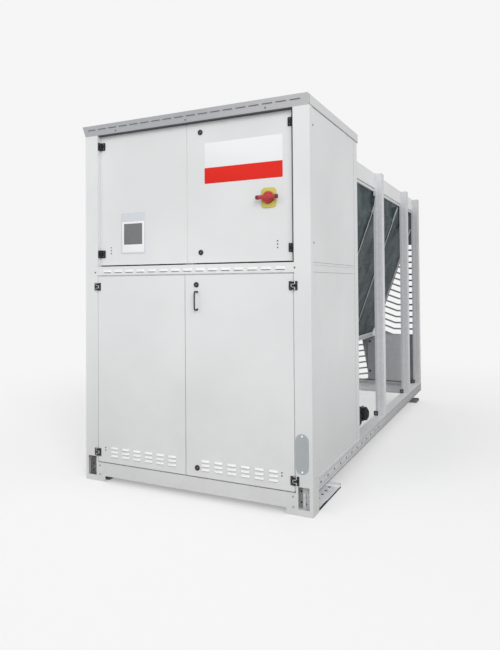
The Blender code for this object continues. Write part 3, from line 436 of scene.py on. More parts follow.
def make_powder_coat():
    """The fine orange peel of powder paint: a noise as fine as sand over a wavy one."""
    tree, given, out = effect("powder_coat", (("Grain", 420.0),), ("Height", "Sheen"))
    place = object_place(tree)
    fine = node(tree, "ShaderNodeTexNoise", {"Detail": 2.0})
    tree.links.new(place, fine.inputs["Vector"])
    tree.links.new(given.outputs["Grain"], fine.inputs["Scale"])
    wavy = noise(tree, place, 26.0, 2.0)
    height = maths(tree, "ADD", fine.outputs["Fac"], maths(tree, "MULTIPLY", wavy, 1.4))
    tree.links.new(height, out.inputs["Height"])
    tree.links.new(noise(tree, place, 5.0, 4.0, 0.6), out.inputs["Sheen"])
    return tree


def make_spangle():
    """Zinc crystals: Voronoi cells, each with its own tone, and a soft cloudy bloom over them."""
    tree, given, out = effect("spangle", (("Cells", 70.0), ("Contrast", 0.5)), ("Tone", "Height"))
    place = object_place(tree)
    bend = node(tree, "ShaderNodeMixRGB", {"Fac": 0.02}, blend_type="ADD")
    wobble = node(tree, "ShaderNodeTexNoise", {"Scale": 40.0, "Detail": 2.0})
    tree.links.new(place, wobble.inputs["Vector"])
    tree.links.new(place, bend.inputs[1])
    tree.links.new(wobble.outputs["Color"], bend.inputs[2])
    cells = node(tree, "ShaderNodeTexVoronoi", feature="F1")
    tree.links.new(bend.outputs[0], cells.inputs["Vector"])
    tree.links.new(given.outputs["Cells"], cells.inputs["Scale"])
    tone = tree.nodes.new("ShaderNodeSeparateColor")
    tree.links.new(cells.outputs["Color"], tone.inputs[0])
    centred = maths(tree, "SUBTRACT", tone.outputs[0], 0.5)
    scaled = maths(tree, "MULTIPLY", centred, given.outputs["Contrast"])
    bloom = maths(tree, "MULTIPLY", maths(tree, "SUBTRACT", noise(tree, place, 3.0, 4.0, 0.6), 0.5), 0.5)
    tree.links.new(maths(tree, "ADD", scaled, bloom), out.inputs["Tone"])
    tree.links.new(cells.outputs["Distance"], out.inputs["Height"])
    return tree


WEATHERING = make_weathering()
POWDER_COAT = make_powder_coat()
SPANGLE = make_spangle()


def placed_effect(tree, group, **values):
    """A shader group node with values on its named inputs."""
    made = tree.nodes.new("ShaderNodeGroup")
    made.node_tree = group
    for key, value in values.items():
        made.inputs[key.replace("_", " ")].default_value = value
    return made.outputs


def started(name, roughness=0.5, metallic=0.0):
    """A material with its tree and its Principled shader."""
    made = bpy.data.materials.new(name)
    made.use_nodes = True
    shader = made.node_tree.nodes["Principled BSDF"]
    shader.inputs["Roughness"].default_value = roughness
    shader.inputs["Metallic"].default_value = metallic
    return made, made.node_tree, shader


def base_colour(made):
    """A finish's tree, its shader's Base Color input and the colour socket that feeds it."""
    tree = made.node_tree
    base = tree.nodes["Principled BSDF"].inputs["Base Color"]
    return tree, base, base.links[0].from_socket


def mixed(tree, factor, first, second):
    """A colour between two colours or colour sockets, by a factor socket."""
    made = tree.nodes.new("ShaderNodeMix")
    made.data_type = "RGBA"
    tree.links.new(factor, made.inputs["Factor"])
    for key, value in (("A", first), ("B", second)):
        socket = [s for s in made.inputs if s.name == key and s.type == "RGBA"][0]
        if isinstance(value, tuple):
            socket.default_value = (*value, 1.0)
        else:
            tree.links.new(value, socket)
    return [s for s in made.outputs if s.type == "RGBA"][0]


def toned(tree, colour, factor):
    """A colour socket times a factor socket."""
    scale = tree.nodes.new("ShaderNodeVectorMath")
    scale.operation = "SCALE"
    tree.links.new(colour, scale.inputs[0])
    tree.links.new(factor, scale.inputs["Scale"])
    return scale.outputs[0]


def bumped(tree, shader, height, distance, strength=1.0):
    """A Bump node from a height socket into the shader's Normal."""
    bump = node(tree, "ShaderNodeBump", {"Distance": distance, "Strength": strength})
    tree.links.new(height, bump.inputs["Height"])
    tree.links.new(bump.outputs["Normal"], shader.inputs["Normal"])


def on_sides(tree, depth):
    """One where the surface lies less than a depth inside the unit's outermost sides, else zero."""
    return maths(tree, "GREATER_THAN", maths(tree, "ABSOLUTE", object_axis(tree, "X")), HALF_WIDTH - depth)


def painted_steel(name, colour, roughness=0.42, dust=0.25, dust_height=0.5, runs=0.12, fade=1.0):
    """Powder-coated sheet: cloudy tone, dust low down, faint rain runs and orange peel; towards
    the ground the colour darkens to the fade factor, a painted shade."""
    made, tree, shader = started(name)
    marks = placed_effect(tree, WEATHERING, Dust=dust, Dust_Height=dust_height, Runs=runs)
    coat = placed_effect(tree, POWDER_COAT)
    darker = tuple(c * 0.93 for c in colour)
    base = mixed(tree, ranged(tree, marks["Clouds"], 0.3, 0.7, 0.0, 1.0), darker, colour)
    # painted shade: below 1.35 m the colour darkens towards the ground, to the fade factor at the floor
    base = toned(tree, base, ranged(tree, object_axis(tree, "Z"), 0.0, 1.35, fade, 1.0))
    dirt = maths(tree, "ADD", marks["Dust"], marks["Runs"], clamp=True)
    tree.links.new(mixed(tree, dirt, base, (0.42, 0.40, 0.36)), shader.inputs["Base Color"])
    rough = ranged(tree, coat["Sheen"], 0.3, 0.7, roughness - 0.05, roughness + 0.07)
    tree.links.new(maths(tree, "ADD", rough, maths(tree, "MULTIPLY", dirt, 0.3)), shader.inputs["Roughness"])
    shader.inputs["Coat Weight"].default_value = 0.15
    shader.inputs["Coat Roughness"].default_value = 0.3
    bumped(tree, shader, coat["Height"], 0.00015, 0.6)
    return made


def hood_paint():
    """The roof's paint: its raked front face, ahead of the posts, is a darker grey as painted shade,
    paler to the right, and a painted shadow line runs along the lower and front edges of its sides."""
    made = painted_steel("hood_white", (0.70, 0.71, 0.715), runs=0.08, dust=0.0)
    tree, base, paint = base_colour(made)
    rake_shade_left, rake_shade_right = (0.475, 0.484, 0.505), (0.585, 0.585, 0.595)
    shadow, lower_line, front_line = (0.10, 0.11, 0.115), 0.0048, 0.0026
    y = object_axis(tree, "Y")
    # painted shade: the raked front face is a darker grey, paler to the right
    rake = mixed(tree, ranged(tree, object_axis(tree, "X"), -0.10, 0.74, 0.0, 1.0), rake_shade_left, rake_shade_right)
    colour = mixed(tree, maths(tree, "LESS_THAN", y, FRONT + 0.0004), paint, rake)
    lines = maths(tree, "MAXIMUM", maths(tree, "LESS_THAN", object_axis(tree, "Z"), ROOF[0].z + lower_line),
                  near_to(tree, y, FRONT + 0.004, front_line))
    tree.links.new(mixed(tree, product(tree, lines, on_sides(tree, 0.0005), 0.80), colour, shadow), base)
    return made


def zinc_steel(name, light=(0.50, 0.51, 0.53), dark=(0.40, 0.41, 0.425), metallic=0.15, cells=70.0,
               dust=0.25, roughness=0.46, recede=1.0, recede_from=0.3):
    """Galvanised sheet: crystals with their own tone and gloss, white bloom and dust low down;
    from a place along the unit to its back the tone falls, as painted shade, to the value given for the back."""
    made, tree, shader = started(name, metallic=metallic)
    crystals = placed_effect(tree, SPANGLE, Cells=cells)
    marks = placed_effect(tree, WEATHERING, Dust=dust, Dust_Height=0.6, Runs=0.2)
    tone = maths(tree, "ADD", crystals["Tone"], 0.55, clamp=True)
    base = mixed(tree, tone, dark, light)
    # painted shade: the tone falls towards the back of the unit
    base = toned(tree, base, ranged(tree, object_axis(tree, "Y"), recede_from, 1.65, 1.0, recede))
    dirt = maths(tree, "ADD", marks["Dust"], marks["Runs"], clamp=True)
    tree.links.new(mixed(tree, dirt, base, (0.36, 0.34, 0.31)), shader.inputs["Base Color"])
    rough = maths(tree, "ADD", maths(tree, "MULTIPLY", crystals["Tone"], -0.12), roughness)
    tree.links.new(maths(tree, "ADD", rough, maths(tree, "MULTIPLY", dirt, 0.25)), shader.inputs["Roughness"])
    bumped(tree, shader, crystals["Height"], 0.0002, 0.35)
    return made


def guard_finish():
    """The back guard's zinc with painted shade on the face towards the coils: darker over the long
    slats and between the chevrons, and darkest near the posts."""
    made = zinc_steel("galvanised_guard_slats", (0.54, 0.56, 0.575), (0.42, 0.435, 0.45), 0.30, 60.0)
    tree, base, zinc = base_colour(made)
    split = tree.nodes.new("ShaderNodeSeparateXYZ")
    tree.links.new(tree.nodes.new("ShaderNodeTexCoord").outputs["Normal"], split.inputs[0])
    inner = maths(tree, "LESS_THAN", split.outputs["Y"], -0.5)
    # painted shade on the inner face: over the slats, between the chevrons and most near the posts
    slats = ranged(tree, object_axis(tree, "Z"), 0.66, 0.70, 0.0, 0.45)
    across = maths(tree, "ABSOLUTE", object_axis(tree, "X"))
    middle = ranged(tree, across, 0.23, 0.26, 0.3, 0.0)
    bright = maths(tree, "SUBTRACT", 1.0, maths(tree, "MAXIMUM", slats, middle))
    edge = ranged(tree, across, 0.635, 0.65, 1.0, 0.30)
    shade = product(tree, maths(tree, "SUBTRACT", 1.0, product(tree, bright, edge)), inner)
    tree.links.new(toned(tree, zinc, maths(tree, "SUBTRACT", 1.0, shade)), base)
    return made


def rail_finish():
    """The base rail's zinc with painted light and shade: slot-shaped shadows at the holes' pitch, two
    rolled lines along the outer face darkened as painted shade, a painted shadow along the lower edge and a
    painted highlight on the top."""
    made = zinc_steel("galvanised_rail", (0.66, 0.665, 0.70), (0.55, 0.555, 0.585), 0.10, 55.0,
                      recede=0.62, recede_from=-1.4)
    tree, base, zinc = base_colour(made)
    slot_length, slot_height = 0.0098, 0.0062
    lower_fold, upper_fold, lower_shadow = 0.022, 0.018, 0.0065
    lit_top_tone = (0.86, 0.855, 0.87)
    y = object_axis(tree, "Y")
    z = object_axis(tree, "Z")
    turns = maths(tree, "DIVIDE", maths(tree, "SUBTRACT", y, RAIL_HOLE_FIRST), RAIL_HOLE_PITCH)
    from_hole = maths(tree, "ABSOLUTE", maths(tree, "SUBTRACT", turns, maths(tree, "ROUND", turns)))
    half_run = (RAIL_HOLES - 1) / 2 * RAIL_HOLE_PITCH
    slot = product(tree, maths(tree, "LESS_THAN", from_hole, slot_length / RAIL_HOLE_PITCH),
                   near_to(tree, z, RAIL_MIDDLE, slot_height),
                   near_to(tree, y, RAIL_HOLE_FIRST + half_run, half_run + 0.2 * RAIL_HOLE_PITCH))
    folds = maths(tree, "MAXIMUM", near_to(tree, z, RAIL[0].z + lower_fold, 0.0022),
                  near_to(tree, z, RAIL[1].z - upper_fold, 0.0020))
    low = maths(tree, "LESS_THAN", z, RAIL[0].z + lower_shadow)
    # painted shade at the slots, the folds and the lower edge
    shade = maths(tree, "MAXIMUM", product(tree, slot, 0.88), product(tree, folds, 0.32))
    shade = maths(tree, "MAXIMUM", shade, product(tree, low, 0.62))
    shade = product(tree, shade, on_sides(tree, 0.001))
    # painted highlight on the top face
    zinc = mixed(tree, maths(tree, "GREATER_THAN", z, RAIL[1].z - 0.0004), zinc, lit_top_tone)
    tree.links.new(toned(tree, zinc, maths(tree, "SUBTRACT", 1.0, shade)), base)
    return made


def foot_finish(name, light, dark, upright, metallic=0.0):
    """A foot's zinc: its flat flange is light, and its upright part is darkened by the upright factor as
    painted shade.
    """
    made = zinc_steel(name, light, dark, metallic, 55.0, 0.05)
    tree, base, zinc = base_colour(made)
    # painted shade on the upright part
    tree.links.new(toned(tree, zinc, ranged(tree, object_axis(tree, "Z"), 0.008, 0.012, 1.0, upright)), base)
    return made


def coil_finish():
    """Bare fin stock: close upright fin lines over dark and pale oxide clouds."""
    made, tree, shader = started("coil_fin_stock", metallic=0.2)
    deep, pale, fin_tone = (0.0095, 0.0175, 0.019), (0.053, 0.083, 0.089), (0.063, 0.098, 0.106)
    place = object_place(tree)
    fins = node(tree, "ShaderNodeTexWave", {"Scale": 75.0, "Distortion": 0.4, "Detail": 1.0},
                wave_type="BANDS", bands_direction="Y", wave_profile="SIN")
    tree.links.new(place, fins.inputs["Vector"])
    blots = noise(tree, place, 6.0, 6.0, 0.62)
    combed = noise(tree, place, 30.0, 4.0, 0.6, (1.0, 0.25, 1.6))
    tone = maths(tree, "ADD", maths(tree, "MULTIPLY", blots, 0.75), maths(tree, "MULTIPLY", combed, 0.35))
    base = mixed(tree, ranged(tree, tone, 0.38, 0.72, 0.0, 1.0), deep, pale)
    shade = mixed(tree, maths(tree, "MULTIPLY", fins.outputs["Fac"], 0.35), base, fin_tone)
    tree.links.new(shade, shader.inputs["Base Color"])
    tree.links.new(ranged(tree, blots, 0.3, 0.7, 0.62, 0.46), shader.inputs["Roughness"])
    bumped(tree, shader, maths(tree, "ADD", fins.outputs["Fac"], combed), 0.0006, 0.5)
    return made


def moulded(name, colour, worn, roughness, grain=500.0, gloss=0.5):
    """Moulded plastic or enamel: fine grain and a little worn bloom in patches."""
    made, tree, shader = started(name, roughness)
    shader.inputs["Specular IOR Level"].default_value = gloss
    place = object_place(tree)
    bloom = ranged(tree, noise(tree, place, 55.0, 4.0, 0.6), 0.52, 0.8, 0.0, 0.55)
    tree.links.new(mixed(tree, bloom, colour, worn), shader.inputs["Base Color"])
    tree.links.new(ranged(tree, noise(tree, place, 90.0), 0.3, 0.7, roughness - 0.06, roughness + 0.10),
                   shader.inputs["Roughness"])
    bumped(tree, shader, noise(tree, place, grain, 2.0), 0.0001, 0.5)
    return made


# The fade factors of the cabinet and door whites are painted shade near the ground.
WHITE = painted_steel("cabinet_white", (0.765, 0.775, 0.78), runs=0.04, fade=0.83)
WHITE_DOOR = painted_steel("door_white", (0.758, 0.765, 0.770), dust_height=0.9, dust=0.20, runs=0.0,
                           fade=0.90)
RAIL_WHITE = painted_steel("rail_white", (0.77, 0.775, 0.78), runs=0.08, dust=0.0)
HOOD_WHITE = hood_paint()
GREY_PLATE = painted_steel("cover_grey", (0.36, 0.385, 0.40), roughness=0.5, dust=0.0, runs=0.1)
# A brighter white than the doors for the louvre and belt hoods: a painted highlight on their upward faces.
HOOD_HIGHLIGHT = painted_steel("pressed_white_highlight", (0.84, 0.845, 0.85), dust=0.05, runs=0.0)
# On the hood's pressed dashes this grey is painted shade, like the raked face around them; on the skirt it
# marks the seams.
FASCIA_LIP = painted_steel("pressed_grey", (0.52, 0.535, 0.57), dust=0.0, runs=0.0)
ZINC = zinc_steel("galvanised_frame")
# The posts' zinc darkens towards the back: painted shade.
ZINC_POST = zinc_steel("galvanised_post", (0.74, 0.745, 0.765), (0.62, 0.62, 0.645), 0.10, 55.0,
                       recede=0.80)
# Darker zinc for the posts' fold strips: painted shade.
ZINC_FOLD_SHADE = zinc_steel("galvanised_fold_shade", (0.62, 0.625, 0.655), (0.54, 0.545, 0.57), 0.10, 55.0, recede=0.80)
ZINC_RAIL = rail_finish()
# Painted light on the front right foot and painted shade on the rear feet; the front left foot takes the zinc
# in shade below.
ZINC_FOOT_LIT = foot_finish("galvanised_front_foot_lit", (0.95, 0.96, 0.98), (0.84, 0.85, 0.87), 0.80)
ZINC_REAR_FOOT_SHADED = foot_finish("galvanised_rear_foot_shaded", (0.26, 0.27, 0.28), (0.18, 0.19, 0.20), 0.50)
ZINC_DEEP = zinc_steel("galvanised_in_shade", (0.17, 0.185, 0.19), (0.095, 0.105, 0.11), 0.10, 90.0)
ZINC_BEAM = zinc_steel("galvanised_beam", (0.74, 0.76, 0.78), (0.62, 0.64, 0.66), 0.10, 55.0)
ZINC_DARK = zinc_steel("galvanised_support", (0.31, 0.32, 0.335), (0.24, 0.25, 0.26), 0.20, 60.0)
ZINC_SHADE = zinc_steel("galvanised_guard", (0.54, 0.56, 0.575), (0.42, 0.435, 0.45), 0.30, 60.0)
GUARD_ZINC = guard_finish()
BRIGHT = zinc_steel("bright_zinc", (0.78, 0.79, 0.80), (0.60, 0.61, 0.62), 0.8, 400.0, 0.1, 0.3)
COIL_FINS = coil_finish()
BLACK = moulded("black_moulding", (0.022, 0.026, 0.030), (0.12, 0.12, 0.12), 0.42, 600.0)
HINGE_BLACK = moulded("hinge_black", (0.011, 0.013, 0.016), (0.055, 0.058, 0.06), 0.5, 600.0, gloss=0.35)
COUPLING_IRON = moulded("coupling_iron", (0.013, 0.015, 0.018), (0.05, 0.052, 0.055), 0.6, 300.0,
                        0.35)
BLACK_FOAM = moulded("black_pipe_cover", (0.016, 0.017, 0.018), (0.06, 0.06, 0.06), 0.7, 260.0)
SEAL = moulded("rubber_seal", (0.020, 0.020, 0.021), (0.05, 0.05, 0.05), 0.75, 350.0)
YELLOW = moulded("switch_yellow", (0.60, 0.53, 0.11), (0.52, 0.47, 0.14), 0.42)
RED = moulded("switch_red", (0.46, 0.030, 0.038), (0.30, 0.035, 0.042), 0.36)
MAROON = moulded("switch_maroon", (0.085, 0.018, 0.024), (0.14, 0.04, 0.05), 0.45)
RED_BAND = moulded("plate_red", (0.72, 0.018, 0.009), (0.66, 0.026, 0.016), 0.60,
                   gloss=0.25)
PLATE_WHITE = moulded("plate_white", (0.82, 0.83, 0.84), (0.80, 0.81, 0.82), 0.36)
PLATE_SILVER = moulded("plate_silver", (0.60, 0.63, 0.66), (0.52, 0.55, 0.58), 0.36)
PLATE_PANEL = moulded("plate_panel", (0.16, 0.165, 0.17), (0.24, 0.25, 0.25), 0.5)
DARK_HOLE = moulded("hole_shadow", (0.006, 0.006, 0.007), (0.012, 0.012, 0.012), 0.8, 300.0)
JOINT_GREY = moulded("joint_shadow", (0.34, 0.35, 0.36), (0.40, 0.405, 0.41), 0.8, 300.0)
SLOT_GREY = moulded("slot_shadow", (0.10, 0.105, 0.11), (0.14, 0.145, 0.15), 0.8, 300.0)
HINGE_SCREW = moulded("hinge_screw", (0.13, 0.135, 0.14), (0.20, 0.205, 0.21), 0.35)
DARK_SCREW = moulded("blackened_screw", (0.15, 0.155, 0.165), (0.20, 0.205, 0.215), 0.38)


def dress_nodes():
    """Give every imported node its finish; the fittings that aren't named are black."""
    finishes = {name: WHITE for name in ("front_skirt", "floor_pan", "mid_frame", "cabinet_back",
                                         "belt_front", "fan_deck", "fan_cowl_1", "fan_cowl_2")}
    for word, _ in SIDES:
        finishes[f"front_post_{word}"] = WHITE
        finishes[f"base_rail_{word}"] = ZINC_RAIL
        finishes[f"top_rail_{word}"] = RAIL_WHITE
        finishes[f"foot_rear_{word}"] = ZINC_REAR_FOOT_SHADED
        finishes[f"coil_{word}"] = COIL_FINS
        for level in ("lower", "upper"):
            finishes[f"side_panel_{level}_{word}"] = WHITE
            finishes[f"{level}_door_{word}"] = WHITE_DOOR
        for number in (1, 2, 3):
            finishes[f"coil_post_{number}_{word}"] = ZINC_POST
    finishes.update({"top_beam_rear": RAIL_WHITE, "roof_hood": HOOD_WHITE, "rear_guard": GUARD_ZINC,
                     "drip_tray": ZINC, "rear_beam": ZINC_BEAM, "foot_front_right": ZINC_FOOT_LIT,
                     "foot_front_left": ZINC_DEEP, "cover_plate": GREY_PLATE, "switch_plate": YELLOW,
                     "switch_handle": RED})
    for name, obj in NODES.items():
        obj.data.materials.clear()
        obj.data.materials.append(finishes.get(name, BLACK))


# Pieces


def hinge_leaf(width, thickness):
    """A hinge leaf with round corners."""
    return plug(width, HINGE_HEIGHT, 0.003, thickness, 0.0015, steps=4)


def lower_hinges():
    """Block hinges of the lower doors: the door's leaf and middle knuckle, the post's leaf and
    two outer knuckles, and a countersunk screw near each leaf corner."""
    leaf = 0.0165
    third = HINGE_HEIGHT / 3
    barrel = turned([(KNUCKLE * 0.8, 0.0), (KNUCKLE, 0.0012), (KNUCKLE, third - 0.0022),
                     (KNUCKLE * 0.8, third - 0.001)])
    for word, side in SIDES:
        door = f"{word}_door"
        edge = side * (POST_INNER - 0.003)
        pin = FRONT - 0.008
        for place, level in (("bottom", 0.1795), ("top", 1.201)):
            for part, way, body, rows in (("door", -side, door, (0,)), ("post", side, "unit", (-1, 1))):
                centre = edge + way * (0.0083 + leaf / 2)
                patches = [placed(hinge_leaf(leaf, 0.0056), (centre, FRONT - 0.0004, level), "front")]
                for row in rows:
                    patches.append(placed(barrel, (edge, pin, level + (row - 0.5) * third + 0.0005), "top"))
                piece(f"hinge_{place}_{word}_{part}", patches, HINGE_BLACK, body)
                places = [(centre + way * 0.001, FRONT - 0.0058, level + up) for up in HINGE_SCREW_RISES]
                heads = screws(0.0030, places, "front")
                piece(f"hinge_{place}_{word}_{part}_screws", heads, HINGE_SCREW, body)


def upper_hinges():
    """Corner hinges of the upper doors: a leaf on the door, one on the post's return, a knuckle
    between them and four screws."""
    height = HINGE_HEIGHT
    face = UPPER_FACE - 0.0003
    corner = POST_INNER - 0.0003
    barrel = turned([(0.0062, 0.0), (KNUCKLE, 0.0015), (KNUCKLE, height - 0.0015), (0.0062, height)])
    for word, side in SIDES:
        inward = "right" if side < 0 else "left"
        for place in ("bottom", "top"):
            name = f"upper_hinge_{place}_{word}"
            low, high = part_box(name)
            level = (low.z + high.z) / 2
            door_leaf = placed(hinge_leaf(0.029, 0.0062), (side * (corner - 0.0235), face, level), "front")
            post_leaf = placed(hinge_leaf(0.019, 0.0062), (side * corner, face - 0.0165, level), inward)
            pin = (side * (corner - 0.0082), face - 0.0082, level - height / 2)
            made = piece(f"{name}_block", [door_leaf, post_leaf, placed(barrel, pin, "top")],
                         HINGE_BLACK)
            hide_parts(name)
            heads = []
            for x, y, facing in ((corner - 0.027, face - 0.0062, "front"),
                                 (corner - 0.0062, face - 0.0190, inward)):
                heads += screws(0.0032, [(side * x, y, level + up) for up in HINGE_SCREW_RISES], facing)
            piece(f"{name}_screws", heads, HINGE_SCREW)


def quarter_turn_locks():
    """Round locks: a domed bezel round a sunk cup, and an insert with a slot in the cup."""
    bezel = [(0.0155, 0.0), (0.0155, 0.0030), (0.0142, 0.0052), (0.0116, 0.0060), (0.0098, 0.0056),
             (0.0090, 0.0025), (0.0050, 0.0022)]
    across, up, out = (np.array(v, float) for v in FACING["front"])
    tilt = math.radians(-40)
    basis = (across * math.cos(tilt) + up * math.sin(tilt),
             up * math.cos(tilt) - across * math.sin(tilt), out)
    key = plug(0.0058, 0.0130, 0.0026, 0.0048, 0.0010)
    for name, body in (("lock_upper_top", "unit"), ("lock_upper_bottom", "unit"),
                       ("lock_lower_top", "right_door"), ("lock_lower_bottom", "right_door")):
        centre = seat(name)
        made = piece(f"{name}_bezel", [placed(turned(bezel, 32), centre, "front")], BLACK, body)
        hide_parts(name)
        piece(f"{name}_insert", [placed(key, centre, basis)], DARK_SCREW, body)


def door_pull():
    """The D handle: an oval section carried along a path that leaves the door, turns at two
    rounded corners and comes back, with a flared foot at each end."""
    low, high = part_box("pull_handle")
    x = (low.x + high.x) / 2
    half = (high.x - low.x) / 2
    reach = low.y + half
    bottom = low.z + half
    top = high.z - half
    corners = [(x, FRONT, bottom), (x, reach + 0.004, bottom), (x, reach, bottom + 0.012),
               (x, reach, top - 0.012), (x, reach + 0.004, top), (x, FRONT, top)]
    path = [np.array([corners[0]])]
    for before, corner, after in zip(corners, corners[1:], corners[2:]):
        path.append(arc_between(corner, before, after, 0.0045, 6))
    path.append(np.array([corners[-1]]))
    grip = carried(circle_profile(half, 14) * (0.98, 0.98), np.vstack(path), (1, 0, 0))
    feet = [placed(turned([(0.0070, 0.0), (0.0066, 0.0020), (0.0050, 0.005), (0.0042, 0.008)]),
                   (x, FRONT, level), "front") for level in (bottom + 0.0026, top - 0.0026)]
    made = piece("door_pull", [grip] + feet, BLACK, "right_door")
    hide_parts("pull_handle")


def pressed_hood(width, height, depth, wall=0.0012, across_steps=20, up_steps=8):
    """A pressed louvre, open at its lower edge: out = depth * cos(s*pi/2)^0.8 * (1-|t|^8)^0.5,
    for t across from -1 to 1 and s up from 0 to 1; an inner skin lies one wall behind it."""
    t = np.sin(np.linspace(-math.pi / 2, math.pi / 2, across_steps + 1))
    s = np.linspace(0, 1, up_steps + 1)
    t, s = np.meshgrid(t, s)
    rise = np.clip(np.cos(s * math.pi / 2), 0, 1) ** 0.8 * np.clip(1 - np.abs(t) ** 8, 0, 1) ** 0.5
    outer = np.stack((t * width / 2, s * height, depth * rise), axis=-1)
    inner = np.stack((t * (width / 2 - wall), s * (height - wall), (depth - wall) * rise - 0.0004), axis=-1)
    rings = np.concatenate((outer, inner[::-1]), axis=0)
    return grid(rings, wrap_rows=True)


def louvres():
    """Three rows of six pressed louvres at the foot of each lower door, each over its mouth."""
    hood = pressed_hood(0.0515, 0.0112, 0.0088)
    mouth = plug(0.046, 0.0042, 0.001, 0.0006, 0.0002)
    first_x, pitch_x = 0.111, 0.0832
    first_z, pitch_z = 0.1598, 0.0235
    for word, side in SIDES:
        door = f"{word}_door"
        hoods = []
        mouths = []
        for column in range(6):
            for row in range(3):
                x = side * (first_x + column * pitch_x)
                z = first_z + row * pitch_z
                hoods.append(placed(hood, (x, FRONT + 0.0002, z + 0.0012), "front"))
                mouths.append(placed(mouth, (x, FRONT, z - 0.0008), "front"))
        piece(f"louvre_hoods_{word}", hoods, HOOD_HIGHLIGHT, door)
        piece(f"louvre_mouths_{word}", mouths, SLOT_GREY, door)


def belt_louvres():
    """Fifteen short pressed hoods along the belt, each over its mouth."""
    hood = pressed_hood(0.060, 0.0150, 0.0062)
    slot = plug(0.054, 0.0034, 0.001, 0.0004, 0.0001)
    first, pitch = -0.579, 0.0825
    hood_level, slot_level = 1.2890, 1.2875
    hoods = []
    slots = []
    for column in range(15):
        x = first + column * pitch
        hoods.append(placed(hood, (x, BELT[0].y, hood_level), "front"))
        slots.append(placed(slot, (x, BELT[0].y, slot_level), "front"))
    piece("belt_hoods", hoods, HOOD_HIGHLIGHT)
    piece("belt_slots", slots, SLOT_GREY)


def fascia_basis():
    """The basis of the roof's raked front: across, up the slope, and outward."""
    rise = ROOF[1].z - ROOF[0].z
    rake = FRONT - ROOF[0].y
    up = np.array((0.0, -rake, rise)) / math.hypot(rise, rake)
    across = np.array((1.0, 0.0, 0.0))
    return across, up, np.cross(across, up)


def fascia_slots():
    """Eighteen dashes pressed into the roof's front, each a low lip over a dark slot, and three
    screws along the lower edge."""
    basis = fascia_basis()
    rake = (FRONT - ROOF[0].y) / (ROOF[1].z - ROOF[0].z)
    hood = pressed_hood(0.060, 0.0060, 0.0014, 0.0006, 16, 5)
    slot = plug(0.060, 0.0058, 0.001, 0.0009, 0.0001)
    hoods = []
    slots = []
    first, pitch = -0.686, 0.0801
    z = 2.1805
    y = FRONT - (z - ROOF[0].z) * rake
    for column in range(18):
        x = first + column * pitch
        hoods.append(placed(hood, (x, y, z + 0.0030), basis))
        slots.append(placed(slot, (x, y, z), basis))
    piece("hood_dashes", hoods, FASCIA_LIP)
    # the dark slots under the lips are painted shade
    piece("hood_dash_slots", slots, DARK_SCREW, "unit")
    z = 2.1617
    heads = screws(0.0048, [(x, FRONT - (z - ROOF[0].z) * rake, z) for x in (-0.508, -0.005, 0.500)], basis)
    piece("hood_screws", heads, DARK_SCREW)


def rotary_switch():
    """The main switch: a yellow plate with a round collar, and a red domed knob with a grip bar
    whose half width is 0.0110 + 0.0065 exp(-(t/0.32)^2) at t along it from -1 to 1."""
    low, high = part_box("switch_plate")
    centre = seat("switch_plate")
    plate = placed(plug(high.x - low.x, high.z - low.z, 0.022, high.y - low.y, 0.002, 10), centre,
                   "front")
    rim = placed(turned_band([(0.0405, 0.0050), (0.0405, 0.0078), (0.0370, 0.0082), (0.0360, 0.0050)]),
                 centre, "front")
    made = piece("switch_yellow_plate", [plate, rim], YELLOW)
    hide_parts("switch_plate")
    knob_low, knob_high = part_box("switch_handle")
    base = (centre[0], knob_high.y, centre[2])
    reach = knob_high.y - knob_low.y
    dome = turned([(0.0330, 0.0), (0.0330, 0.006), (0.0318, 0.010), (0.0300, 0.0160), (0.0276, 0.0215),
                   (0.0235, reach - 0.0075), (0.0170, reach - 0.0040), (0.0080, reach - 0.0024)], 40)
    t = np.linspace(-1, 1, 33)
    half = 0.0640
    section = circle_profile(1.0, 20)
    square = np.sign(section) * np.abs(section) ** 0.7
    wide = 0.0110 + 0.0065 * np.exp(-(t / 0.32) ** 2)
    rings = np.stack((np.repeat(t[:, None] * half, 20, axis=1),
                      wide[:, None] * square[:, 0],
                      reach - 0.0088 + 0.0084 * square[:, 1] * np.ones_like(t)[:, None]), axis=-1)
    grip = closed_stack(rings)
    made = piece("switch_red_knob", [placed(dome, base, "front"), placed(grip, base, "front")],
                 RED, "switch")
    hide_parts("switch_handle")
    tips = []
    for way in (-1, 1):
        levels = ((0.0, 0.98), (0.0006, 1.04), (0.0125, 1.02), (0.0148, 0.86))
        cap = closed_stack(np.stack([np.stack((np.full(20, way * (half - 0.0140 + step)),
                                               (grow * 0.0112) * square[:, 0],
                                               reach - 0.0088 + (grow * 0.0084) * square[:, 1]), axis=-1)
                                     for step, grow in levels]))
        tips.append(placed(cap, base, "front"))
    piece("switch_knob_tips", tips, MAROON, "switch")


def name_plates():
    """Bare plates where the real unit carries signs: a white one over a red band on the right
    door, and a silver one with blank fields on the left door."""
    sign_x, plate_x = 0.342, -0.4055
    for name, width, height, corner, depth, edge, x, z, finish in (
            ("sign_white", 0.484, 0.143, 0.004, 0.0010, 0.0004, sign_x, 1.9485, PLATE_WHITE),
            ("sign_red_band", 0.484, 0.090, 0.004, 0.0011, 0.0004, sign_x, 1.832, RED_BAND),
            ("plate_left", 0.181, 0.252, 0.006, 0.0010, 0.0004, plate_x, 1.526, PLATE_SILVER),
            ("plate_left_field", 0.164, 0.188, 0.003, 0.0013, 0.0003, plate_x, 1.504, PLATE_WHITE),
            ("plate_left_panel", 0.136, 0.128, 0.003, 0.0016, 0.0003, plate_x, 1.522, PLATE_PANEL)):
        plate = plug(width, height, corner, depth, edge)
        piece(name, [placed(plate, (x, UPPER_FACE, z), "front")], finish)


